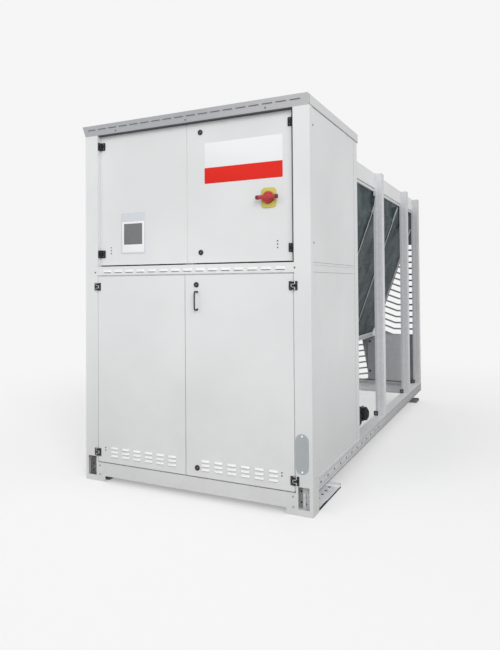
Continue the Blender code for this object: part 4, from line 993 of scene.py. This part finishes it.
def panel_screws():
    """Pan-head screws of the cabinet's panels, posts, belt and skirt, and the skirt's end seams."""
    small, large = 0.0050, 0.0058
    heads = []
    painted = []
    skirt = []
    for facing, side in SIDES:
        face = side * SIDE_FACE
        near, far, seam = FRONT + 0.057, FRONT + 0.825, FRONT + 0.889
        heads += screws(small, [(face, near, z) for z in (2.053, 1.427)], facing)
        painted += screws(small, [(face, near, z) for z in (1.158, 0.281)], facing)
        painted += screws(small, [(face, far, z) for z in (2.051, 1.427, 1.158, 0.281)], facing)
        painted += screws(small, [(face, seam, z) for z in (0.30, 0.75, 1.20, 1.62, 2.06)], facing)
        skirt += screws(large, [(side * 0.640, FRONT, z) for z in (0.043, 0.096)], "front")
    heads += screws(small, [(-0.673, FRONT, 1.290), (0.659, FRONT, 1.296)], "front")
    heads += screws(large, [(x, BACK_FACE, z) for x in (-0.70, -0.35, 0.0, 0.35, 0.70)
                            for z in (0.24, 1.30, 2.10)], "back")
    piece("panel_screws", heads, DARK_SCREW)
    piece("painted_screws", painted, ZINC_POST, "unit")
    piece("skirt_screws", skirt, JOINT_GREY, "unit")
    seams = mirrored_bars([((0.6024, FRONT - 0.0002, SKIRT[0].z + 0.001), (0.6034, FRONT + 0.0004, 0.1150))])
    piece("skirt_seams", seams, FASCIA_LIP)
    cover_x = (COVER[0].x + COVER[1].x) / 2
    places = [(cover_x, COVER[0].y, z) for z in (COVER[0].z + 0.012, COVER[1].z - 0.012)]
    covers = screws(0.0062, places, "front")
    piece("cover_screws", covers, PLATE_WHITE)


def panel_joints():
    """The joints between the cabinet's side panels: a thin shadow line along each, with the
    folded edge of the next sheet beside it."""
    face = SIDE_FACE - 0.0004
    proud = SIDE_FACE + 0.0004
    near = FRONT + 0.0376
    seam = SIDE_PANEL[1].y
    low = RAIL[1].z
    top = ROOF[0].z - 0.0004
    lines = [((face, seam - 0.0012, low), (proud, seam + 0.0014, top)),
             ((face, near - 0.0004, low), (proud, near + 0.0016, top))]
    for z in (BELT[0].z, BELT[1].z - 0.002):
        lines.append(((face, near, z - 0.0012), (proud, seam, z + 0.0012)))
    lines.append(((face, near, BELT[1].z - 0.0165), (proud, seam, BELT[1].z - 0.0152)))
    piece("panel_joints", mirrored_bars(lines), JOINT_GREY, "unit")


def door_gap_lips():
    """Painted edges that show in the gaps beside, between and above the doors."""
    low = LOWER_LEFT[0].z + 0.006
    high = LOWER_LEFT[1].z
    behind = FRONT + 0.0035
    deep = FRONT + 0.0060
    lips = mirrored_bars([((POST_INNER - 0.0045, behind, low), (POST_INNER - 0.0004, deep, high))])
    lips.append(bar((DOOR_SEAM - 0.0015, behind, low), (DOOR_SEAM + 0.0015, FRONT + 0.0258, high)))
    lips.append(bar((-POST_INNER + 0.006, behind, high + 0.0016), (POST_INNER - 0.006, deep, high + 0.0048)))
    set_back = UPPER_FACE + 0.0022
    lips.append(bar((DOOR_SEAM - 0.0026, set_back, UPPER_LEFT[0].z),
                    (DOOR_SEAM + 0.0026, set_back + 0.003, UPPER_LEFT[1].z)))
    lips.append(bar((-POST_INNER + 0.0004, UPPER_FACE + 0.0012, UPPER_LEFT[0].z),
                    (UPPER_LEFT[0].x - 0.0006, UPPER_FACE + 0.005, UPPER_LEFT[1].z)))
    piece("door_gap_lips", lips, WHITE)
    # dark bars: painted shadow along the right upper door's edge and in the gap under the roof
    shadows = [bar((UPPER_RIGHT[1].x - 0.0065, UPPER_FACE - 0.0010, UPPER_RIGHT[0].z + 0.002),
                   (UPPER_RIGHT[1].x, UPPER_FACE, UPPER_RIGHT[1].z - 0.002)),
               bar((-POST_INNER + 0.002, FRONT + 0.002, ROOF[0].z - 0.0030),
                   (POST_INNER - 0.002, UPPER_FACE - 0.0005, ROOF[0].z - 0.0004))]
    piece("door_edge_shadow", shadows, SLOT_GREY)


def side_rails():
    """What runs along the coil section below each top rail: a folded lip in each bay and the
    shadow joint above it, with the end of the drip tray at the back."""
    posts = [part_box(f"coil_post_{number}_right") for number in (1, 2, 3)]
    under = TOP_RAIL[0].z
    starts = [BACK_FACE + 0.002] + [box[1].y + 0.001 for box in posts[:2]]
    ends = [box[0].y - 0.001 for box in posts]
    lips = [((0.676, a, under - 0.0240), (0.6900, b, under - 0.0040)) for a, b in zip(starts, ends)]
    joints = [((0.676, a, under - 0.0042), (0.6880, b, under - 0.0008)) for a, b in zip(starts, ends)]
    piece("top_rail_lips", mirrored_bars(lips), ZINC_POST)
    rail_low, rail_high = TOP_RAIL
    caps = [((rail_low.x + 0.0035, rail_high.y - 0.0035, rail_low.z + 0.0035),
             (rail_high.x - 0.0035, rail_high.y - 0.0010, rail_high.z - 0.0035))]
    piece("top_rail_caps", mirrored_bars(caps), RAIL_WHITE, "unit")
    piece("top_rail_joints", mirrored_bars(joints), JOINT_GREY)
    edge = TRAY[1].x
    near, far = COIL[0].y + 0.002, COIL[1].y - 0.004
    trims = [((edge, near, TRAY[1].z - 0.012), (edge + 0.004, far, TRAY[1].z + 0.002)),
             ((edge, near, TRAY[0].z + 0.001), (edge + 0.0025, far, TRAY[0].z + 0.008))]
    piece("tray_edges", mirrored_bars(trims), ZINC_POST)
    ends = [((0.255, COIL[1].y - 0.098, 0.665), (0.318, COIL[1].y - 0.002, 0.748))]
    piece("tray_end_caps", mirrored_bars(ends), PLATE_WHITE, "unit")


def post_fold_shades():
    """Painted shade on the coil posts' rolled folds: a darker strip along the inner edge of the front
    flange, and a fine one down its middle."""
    for number in (1, 2, 3):
        for word, side in SIDES:
            low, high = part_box(f"coil_post_{number}_{word}")
            inner = min(abs(low.x), abs(high.x))
            strips = [side_bar(side, (x0, low.y - 0.0006, low.z), (x1, low.y, TOP_RAIL[0].z - 0.004))
                      for x0, x1 in ((inner, inner + 0.017), (inner + 0.040, inner + 0.043))]
            piece(f"coil_post_fold_shades_{number}_{word}", strips, ZINC_FOLD_SHADE)


def rear_bay():
    """Inside of the back: the coil's upright supports before the guard, their bolts and the
    shadow joint between the guard and the rear beam."""
    face = GUARD[0].y - 0.0006
    uprights = [((0.226, face - 0.030, RAIL[1].z + 0.001), (0.2275, face, 0.645)),
                ((0.226, face - 0.0320, 0.210), (0.300, face - 0.0300, 0.645))]
    piece("coil_supports", mirrored_bars(uprights), ZINC_DARK)
    places = [(side * 0.250, face - 0.0320, z) for side in (-1, 1) for z in (0.292, 0.60)]
    piece("coil_support_bolts", bolts(0.0075, 0.006, places, "front"), HINGE_BLACK, "unit")
    reach = GUARD[1].x - 0.06
    joint = bar((-reach, face - 0.0012, RAIL[1].z + 0.001), (reach, face, RAIL[1].z + 0.011))
    piece("guard_joint", [joint], SLOT_GREY)
    beam_low, beam_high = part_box("rear_beam")
    band = bar((beam_low.x + 0.002, beam_low.y - 0.0012, beam_high.z - 0.016),
               (beam_high.x - 0.002, beam_low.y, beam_high.z - 0.001))
    cleats = [((beam_high.x + 0.0004, beam_low.y, beam_high.z - 0.014),
               (RAIL[0].x - 0.0004, beam_high.y, beam_high.z - 0.001))]
    piece("rear_beam_edge", [band] + mirrored_bars(cleats), ZINC_POST)


def drain_holes():
    """Small dark holes with a burred edge: three in a row on each upper door, two on each lower."""
    hole = burred_hole(0.0042)
    upper = [(x, z) for x in (-0.573, 0.551) for z in (1.443, 1.425, 1.407)]
    piece("upper_door_holes", [placed(hole, (x, UPPER_FACE, z), "front") for x, z in upper],
          DARK_HOLE)
    for word, x, door in (("left", -0.596, "left_door"), ("right", 0.577, "right_door")):
        piece(f"lower_door_holes_{word}",
              [placed(hole, (x, FRONT, z), "front") for z in (0.195, 0.211)],
              DARK_HOLE, door)


def coil_faces():
    """The finned face of each coil: along the slope the skin stands out by
    base + swell*|cos(pi*distance/row)| over each tube row, and it runs straight along Y. The
    coil blocks meet at flanges that stand out from the fins and run up the plate above them."""
    low = np.array((COIL_LOW_X, COIL_LOW_Z))
    high = np.array((COIL_HIGH_X, COIL_TOP))
    length = np.linalg.norm(high - low)
    slope = (high - low) / length
    outward = np.array((slope[1], -slope[0]))
    distance = np.linspace(0.004, length - 0.004, int(length / TUBE_ROW) * 6)
    swell = 0.0010 + 0.0016 * np.abs(np.cos(math.pi * distance / TUBE_ROW)) ** 0.7
    face = low + distance[:, None] * slope + swell[:, None] * outward
    behind = low + distance[::-1][[0, -1], None] * slope - 0.002 * outward
    profile = np.vstack((face, behind))
    above = TOP_RAIL[0].z - 0.062
    for word, side in SIDES:
        skin = extruded(profile, side, COIL[0].y + 0.001, COIL[1].y - 0.001)
        piece(f"coil_face_{word}", [skin], COIL_FINS, smooth_angle=60)
        flanges = []
        gaps = []
        gussets = []
        for y, reach in zip(COIL_SEAMS, (COIL_TOP + 0.055, above - 0.004)):
            reach_x = COIL_HIGH_X + (reach - COIL_TOP) * slope[0] / slope[1]
            corners = [(COIL_HIGH_X - 0.002, COIL_TOP), (reach_x, reach),
                       (min(reach_x + 0.010, 0.735), above), (COIL_HIGH_X - 0.002, above)]
            flanges.append(slope_strip(side, y, y + 0.003, 0.010, reach))
            # dark strips beside the flanges: painted shade in the gaps between the coil blocks
            gaps.append(slope_strip(side, y - 0.032, y - 0.001, 0.0034))
            gussets.append(extruded(corners, side, y, y + 0.003))
        flanges.append(slope_strip(side, COIL[1].y - 0.034, COIL[1].y - 0.004, 0.007))
        piece(f"coil_flanges_{word}", flanges, ZINC_SHADE)
        piece(f"coil_gussets_{word}", gussets, COIL_FINS)
        piece(f"coil_joint_gaps_{word}", gaps, SEAL)


def slope_strip(side, y_low, y_high, out, top=COIL_TOP):
    """A flat strip up the coil's slope to a height, standing out from it by a small amount."""
    low = np.array((COIL_LOW_X, COIL_LOW_Z))
    high = np.array((COIL_HIGH_X, COIL_TOP))
    high = low + (high - low) * (top - COIL_LOW_Z) / (COIL_TOP - COIL_LOW_Z)
    slope = (high - low) / np.linalg.norm(high - low)
    outward = np.array((slope[1], -slope[0]))
    sunk = -0.001 * outward
    return extruded([low + sunk, low + out * outward, high + out * outward, high + sunk], side, y_low, y_high)


def fan_blades(centre_y):
    """Five blades: for span s from 0 to 1 a section of chord c(s), set at pitch p(s) and swept
    back by w(s), where the section is a closed lens with its belly bent to one side."""
    spans = np.linspace(0, 1, 14)
    turn = np.linspace(0, 2 * math.pi, 22, endpoint=False)
    lens_x = 0.5 * np.cos(turn)
    lens_y = 0.045 * np.sin(turn) * (1 - 0.25 * np.cos(turn)) + 0.10 * (0.25 - lens_x ** 2)
    root, tip = 0.060, FAN_RADIUS - 0.010
    rings = []
    for s in spans:
        radius = root + (tip - root) * s
        chord = 0.115 + 0.125 * s ** 0.8 - 0.030 * s ** 6
        pitch = math.radians(40 - 19 * s)
        sweep = 0.55 * s ** 1.6
        along = lens_x * chord * math.cos(pitch) - lens_y * chord * math.sin(pitch)
        rise = lens_x * chord * math.sin(pitch) + lens_y * chord * math.cos(pitch)
        angle = along / radius + sweep
        rings.append(np.stack((radius * np.cos(angle), radius * np.sin(angle), rise), axis=-1))
    blade = closed_stack(np.array(rings))
    blades = []
    for number in range(5):
        spin = 2 * math.pi * number / 5
        basis = ((math.cos(spin), math.sin(spin), 0), (-math.sin(spin), math.cos(spin), 0), (0, 0, 1))
        blades.append(placed(blade, (0, centre_y, DECK[1].z - 0.030), basis))
    return blades


def fans():
    """Each fan: a ribbed motor with its blades, and the wire guard that carries it."""
    for number in (1, 2):
        low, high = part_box(f"fan_{number}")
        cowl_low, cowl_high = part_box(f"fan_cowl_{number}")
        centre_y = (cowl_low.y + cowl_high.y) / 2
        motor = [(0.040, 0.0), (0.078, 0.004), (0.085, 0.014)]
        for step in range(9):
            level = 0.020 + step * 0.011
            motor += [(0.085, level), (0.078, level + 0.003), (0.078, level + 0.006), (0.085, level + 0.009)]
        motor += [(0.085, 0.122), (0.080, 0.131), (0.050, high.z - low.z)]
        casing = placed(turned(motor, 48), (0, centre_y, low.z), "top")
        made = piece(f"fan_rotor_{number}", [casing] + fan_blades(centre_y), BLACK)
        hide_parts(f"fan_{number}")
        g_low, g_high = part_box(f"fan_guard_{number}")
        level = (g_low.z + g_high.z) / 2
        rim = (g_high.x - g_low.x) / 2
        wires = []
        profile = circle_profile(0.0022, 6)
        for step in range(15):
            radius = 0.084 + step * (rim - 0.006 - 0.084) / 14
            ring = turned_band(profile + (radius, 0.0), 72)
            wires.append(placed(ring, (0, centre_y, level + 0.0008), "top"))
        for step in range(8):
            turn = math.pi * step / 4
            reach = np.linspace(0.050, rim - 0.003, 12)
            path = np.stack((reach * math.cos(turn), centre_y + reach * math.sin(turn),
                             np.full(12, level - 0.0008)), axis=-1)
            wires.append(carried(circle_profile(0.0028, 8), path, (0, 0, 1)))
        plate = turned([(0.070, -0.003), (0.070, 0.001), (0.064, 0.003), (0.012, 0.003)], 40)
        wires.append(placed(plate, (0, centre_y, level), "top"))
        made = piece(f"fan_wire_guard_{number}", wires, BLACK)
        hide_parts(f"fan_guard_{number}")
        heads = bolts(0.006, 0.005, around(centre_y, DECK[1].z + 0.0043, 0.421, 8), "top")
        heads += bolts(0.006, 0.004, around(centre_y, level + 0.003, 0.045, 4), "top")
        piece(f"fan_bolts_{number}", heads, BRIGHT)


def deck_bolts():
    """Hexagon bolts along the edges of the fan deck."""
    places = [(x, y, DECK[1].z) for x in (DECK[0].x + 0.022, DECK[1].x - 0.022)
              for y in np.linspace(DECK[0].y + 0.12, DECK[1].y - 0.06, 9)]
    places += [(x, DECK[1].y - 0.022, DECK[1].z) for x in (-0.45, -0.15, 0.15, 0.45)]
    piece("deck_bolts", bolts(0.006, 0.005, places, "top"), BRIGHT)


def pipe_ends():
    """Each water stub: a covered pipe swept along its bend, and a coupling on its end whose rim
    is scalloped and whose halves meet at bolt pads: radius = r + 0.0018 cos(9t) +
    pad*exp(-((t-t0)/w)^2) at both sides."""
    turn = np.linspace(0, 2 * math.pi, 72, endpoint=False)
    pad = 0.0018 * np.cos(9 * turn)
    for middle in (math.pi / 2, 3 * math.pi / 2):
        pad += 0.0035 * np.exp(-((turn - middle) / 0.26) ** 2)
    levels = ((0.0400, -0.0560), (0.0435, -0.0530), (0.0445, -0.0470), (0.0430, -0.0420), (0.0430, -0.0140),
              (0.0450, -0.0080), (0.0440, 0.0030), (0.0385, 0.0090), (0.0310, 0.0120))
    rings = np.array([np.stack(((radius + pad) * np.cos(turn), (radius + pad) * np.sin(turn),
                                np.full(72, out)), axis=-1) for radius, out in levels])
    housing = closed_stack(rings)
    stub = turned([(0.0302, -0.060), (0.0302, 0.012), (0.0270, 0.012), (0.0268, -0.030), (0.004, -0.032)], 32)
    for word, side in SIDES:
        for place, reach, inset in (("front", 0.200, 0.290), ("rear", 0.400, 0.410)):
            name = f"pipe_{place}_{word}"
            low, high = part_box(name)
            end = max(abs(low.x), abs(high.x))
            level = (low.z + high.z) / 2
            y = BACK_FACE + reach
            start = (side * (end - inset), BACK_FACE + 0.0003, level)
            corner = (start[0], y, level)
            last = (side * (end - 0.020), y, level)
            path = np.vstack(([start], arc_between(corner, start, last, 0.078, 12), [last]))
            cover = carried(circle_profile(0.0335, 24), path, (0, 0, 1))
            collar = placed(turned([(0.042, 0.0), (0.042, 0.004), (0.036, 0.006), (0.034, 0.006)], 32),
                            start, "back")
            made = piece(f"{name}_cover", [cover, collar], BLACK_FOAM)
            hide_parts(name)
            tube = placed(stub, (side * end, y, level), word)
            clamp = placed(housing, (side * (end - 0.004), y, level), word)
            piece(f"{name}_coupling", [tube, clamp], COUPLING_IRON)
            heads = []
            for facing, lean in (("front", -1), ("back", 1)):
                places = [(side * (end - 0.028), y + lean * 0.004, level + up * 0.0455) for up in (-1, 1)]
                heads += bolts(0.0075, 0.008, places, facing)
            piece(f"{name}_coupling_bolts", heads, DARK_SCREW)


def post_feet():
    """Dark blocks on the base rails before the foot of each coil post, each with a bolt."""
    for number in (1, 2, 3):
        for word, side in SIDES:
            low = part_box(f"coil_post_{number}_{word}")[0]
            centre = (side * 0.687, low.y - 0.001, RAIL[1].z + 0.0175)
            block = placed(plug(0.032, 0.034, 0.003, 0.010, 0.002, 4), centre, "front")
            piece(f"post_bracket_{number}_{word}", [block], BLACK)
            bolt = placed(hex_head(0.0070, 0.005), (centre[0], centre[1] - 0.010, centre[2]), "front")
            piece(f"post_bracket_bolt_{number}_{word}", [bolt], DARK_SCREW)


def window_brackets():
    """The foot plates behind the posts' windows: a fold, bolts and holes, with painted shade: a dark line at
    the fold, dark bars and a dark top edge in the windows, and a dark line along each foot's outer edge.
    """
    folds = []
    holes = []
    heads = []
    fills = []
    shades = []
    deep = []
    tops = []
    edges = []
    for word, side in SIDES:
        low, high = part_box(f"foot_front_{word}")
        y = low.y
        folds.append(side_bar(side, (0.698, y - 0.0020, 0.036), (0.7005, y, 0.109)))
        if side > 0:
            fills.append(bar((0.668, y - 0.0012, 0.108), (0.733, y, 0.156)))
            shades.append(bar((0.6600, y - 0.0016, 0.030), (0.6815, y - 0.0012, 0.156)))
            shades.append(bar((0.6577, FRONT + 0.0030, 0.034), (0.6583, y - 0.0005, 0.151)))
        else:
            deep.append(side_bar(side, (0.668, y - 0.0012, 0.030), (0.733, y - 0.0004, 0.136)))
            tops.append(side_bar(side, (0.668, y - 0.0012, 0.1362), (0.733, y - 0.0004, 0.156)))
        outer = max(abs(low.x), abs(high.x))
        middle = y + 0.22
        for width, near, far in ((0.0080, y + 0.004, middle), (0.0045, middle, high.y - 0.004)):
            edges.append(side_bar(side, (outer - width, near, 0.0001), (outer + 0.0005, far, 0.0046)))
        for x, z in ((0.695, 0.145), (0.720, 0.146), (0.672, 0.118), (0.720, 0.092), (0.673, 0.060),
                     (0.721, 0.050)):
            holes.append(placed(burred_hole(0.0052), (side * x, y - 0.0016, z), "front"))
        heads.append(placed(hex_head(0.0050, 0.004), (side * 0.711, y, 0.070), "front"))
    piece("foot_plate_fold_shadows", folds, ZINC_DARK)
    piece("foot_plate_upper", fills, ZINC_RAIL)
    piece("foot_plate_shaded", shades, ZINC_DARK)
    piece("foot_plate_deep", deep, ZINC_DEEP)
    piece("foot_plate_top_shadows", tops, DARK_HOLE)
    piece("foot_outer_edge_shadows", edges, DARK_HOLE)
    piece("foot_plate_holes", holes, DARK_HOLE)
    piece("foot_bolts", heads, BRIGHT)


def rail_marks():
    """Painted shade behind the base rails' holes and in the bolt holes along the front feet, the
    rails' pressed rims and two screws in each corner shoe."""
    hole_shadows = []
    rims = []
    for word, side in SIDES:
        flush = side * (HALF_WIDTH - 0.0002)
        for step in range(RAIL_HOLES):
            y = RAIL_HOLE_FIRST + step * RAIL_HOLE_PITCH
            centre = (side * (HALF_WIDTH - 0.0032), y, RAIL_MIDDLE)
            hole_shadows.append(placed(shadow_disc(0.0066, 0.0014, 16), centre, word))
            if step % 2:
                rims.append(placed(rolled_rim(0.0050), (flush, y - 0.040, RAIL_MIDDLE + 0.016), word))
        foot_low, foot_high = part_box(f"foot_front_{word}")
        hole_x = side * (max(abs(foot_low.x), abs(foot_high.x)) - 0.060)
        for step in range(4):
            centre = (hole_x, foot_high.y - 0.035 - step * 0.065, 0.0016)
            hole_shadows.append(placed(shadow_disc(0.0086, 0.0026, 20), centre, "top"))
        for z in (0.135, 0.060):
            rims.append(placed(rolled_rim(0.0055), (flush, FRONT + 0.072, z), word))
    piece("rail_hole_shadows", hole_shadows, DARK_HOLE)
    piece("rail_rivets", rims, DARK_SCREW)


def door_seals():
    """Rubber seals behind the doors' edges: a soft D section along the posts, belt and skirt."""
    lower = FRONT + 0.0225
    upper = UPPER_FACE + 0.0225
    reach = POST_INNER - 0.012
    profile = [(-0.006, -0.002), (0.006, -0.002), (0.006, 0.0006), (0.0035, 0.0022), (-0.0035, 0.0022),
               (-0.006, 0.0006)]
    strips = []
    for z, y in ((1.258, lower), (0.135, lower), (1.345, upper), (2.136, upper)):
        strips.append(carried(profile, [(-reach, y, z), (0.0, y, z), (reach, y, z)], (0, 1, 0)))
    for x in (-reach, reach):
        for z0, z1, y in ((0.140, 1.252, lower), (1.350, 2.130, upper)):
            strips.append(carried(profile, [(x, y, z0), (x, y, (z0 + z1) / 2), (x, y, z1)], (0, 1, 0)))
    piece("door_seals", strips, SEAL)


# Stage, lights and camera


def make_floor():
    """A wide pale floor: the camera sees it lifted to the background's white, and the shadow of
    the unit stays on it."""
    made, tree, shader = started("studio_floor", 0.9)
    shader.inputs["Base Color"].default_value = (FLOOR_TONE, FLOOR_TONE, FLOOR_TONE, 1.0)
    length = node(tree, "ShaderNodeVectorMath", operation="LENGTH")
    tree.links.new(object_place(tree), length.inputs[0])
    rays = tree.nodes.new("ShaderNodeLightPath")
    far = ranged(tree, length.outputs["Value"], 2.4, 6.0, 0.0, 1.0)
    seen = maths(tree, "MAXIMUM", rays.outputs["Is Camera Ray"], rays.outputs["Is Glossy Ray"])
    glow = node(tree, "ShaderNodeEmission", {"Color": (BACKDROP, BACKDROP, BACKDROP, 1.0), "Strength": 1.0})
    blend = tree.nodes.new("ShaderNodeMixShader")
    tree.links.new(maths(tree, "MULTIPLY", far, seen), blend.inputs["Fac"])
    lift = node(tree, "ShaderNodeEmission", {"Color": (1.0, 1.0, 1.0, 1.0)})
    lifted = maths(tree, "MULTIPLY", rays.outputs["Is Camera Ray"], FLOOR_LIFT)
    tree.links.new(lifted, lift.inputs["Strength"])
    add = tree.nodes.new("ShaderNodeAddShader")
    tree.links.new(shader.outputs[0], add.inputs[0])
    tree.links.new(lift.outputs[0], add.inputs[1])
    tree.links.new(add.outputs[0], blend.inputs[1])
    tree.links.new(glow.outputs[0], blend.inputs[2])
    tree.links.new(blend.outputs[0], tree.nodes["Material Output"].inputs["Surface"])
    mesh = bpy.data.meshes.new("studio_floor")
    corners = [(x * FLOOR_REACH, y * FLOOR_REACH, 0) for x, y in ((-1, -1), (1, -1), (1, 1), (-1, 1))]
    mesh.from_pydata(corners, [], [(0, 1, 2, 3)])
    mesh.materials.append(made)
    floor = bpy.data.objects.new("studio_floor", mesh)
    bpy.context.scene.collection.objects.link(floor)


def make_world():
    """An even pale sky that lights the object, and shows as the background's own white."""
    world = bpy.data.worlds.new("studio_sky")
    world.use_nodes = True
    tree = world.node_tree
    tree.nodes.clear()
    rays = tree.nodes.new("ShaderNodeLightPath")
    seen = maths(tree, "MAXIMUM", rays.outputs["Is Camera Ray"], rays.outputs["Is Transmission Ray"])
    light = node(tree, "ShaderNodeBackground", {"Color": (1.0, 1.0, 1.0, 1.0), "Strength": SKY})
    white = (BACKDROP, BACKDROP, BACKDROP, 1.0)
    shown = node(tree, "ShaderNodeBackground", {"Color": white, "Strength": 1.0})
    blend = tree.nodes.new("ShaderNodeMixShader")
    out = tree.nodes.new("ShaderNodeOutputWorld")
    tree.links.new(seen, blend.inputs["Fac"])
    tree.links.new(light.outputs[0], blend.inputs[1])
    tree.links.new(shown.outputs[0], blend.inputs[2])
    tree.links.new(blend.outputs[0], out.inputs["Surface"])
    bpy.context.scene.world = world


def make_lamp(name, direction, strength, angle):
    """A broad sun that shines along a direction."""
    data = bpy.data.lights.new(name, "SUN")
    data.energy = strength
    data.angle = math.radians(angle)
    lamp = bpy.data.objects.new(name, data)
    lamp.rotation_mode = "QUATERNION"
    lamp.rotation_quaternion = Vector(direction).to_track_quat("-Z", "Y")
    bpy.context.scene.collection.objects.link(lamp)


def make_camera():
    """The photograph's camera: its place, its turn to the left, its small pitch and roll."""
    yaw, pitch, roll = 0.447905, 0.018963, -0.00759
    forward = np.array((-math.sin(yaw) * math.cos(pitch), math.cos(yaw) * math.cos(pitch), math.sin(pitch)))
    level = np.array((math.cos(yaw), math.sin(yaw), 0.0))
    upright = np.cross(level, forward)
    right = level * math.cos(roll) + upright * math.sin(roll)
    up = -level * math.sin(roll) + upright * math.cos(roll)
    place = (HALF_WIDTH + 1.02244, FRONT - 2.85907, 1.21039)
    data = bpy.data.cameras.new("photo_camera")
    data.sensor_width = 36.0
    data.lens = 581.6475 / 650 * 36.0
    data.shift_y = (273.067 - 325) / 650
    data.clip_end = 200.0
    camera = bpy.data.objects.new("photo_camera", data)
    camera.matrix_world = Matrix((
        (right[0], up[0], -forward[0], place[0]),
        (right[1], up[1], -forward[1], place[1]),
        (right[2], up[2], -forward[2], place[2]),
        (0.0, 0.0, 0.0, 1.0)))
    bpy.context.scene.collection.objects.link(camera)
    bpy.context.scene.camera = camera


dress_nodes()
lower_hinges()
upper_hinges()
quarter_turn_locks()
door_pull()
louvres()
belt_louvres()
fascia_slots()
rotary_switch()
name_plates()
panel_screws()
panel_joints()
door_gap_lips()
drain_holes()
coil_faces()
side_rails()
post_fold_shades()
rear_bay()
fans()
deck_bolts()
pipe_ends()
post_feet()
window_brackets()
rail_marks()
door_seals()
make_floor()
make_world()
make_lamp("main_sun", (-0.55, 0.69, -0.45), 1.55, 40)
make_lamp("key_sun", (0.45, 0.85, -0.62), 0.28, 20)
make_camera()
bpy.context.scene.view_settings.view_transform = "Standard"
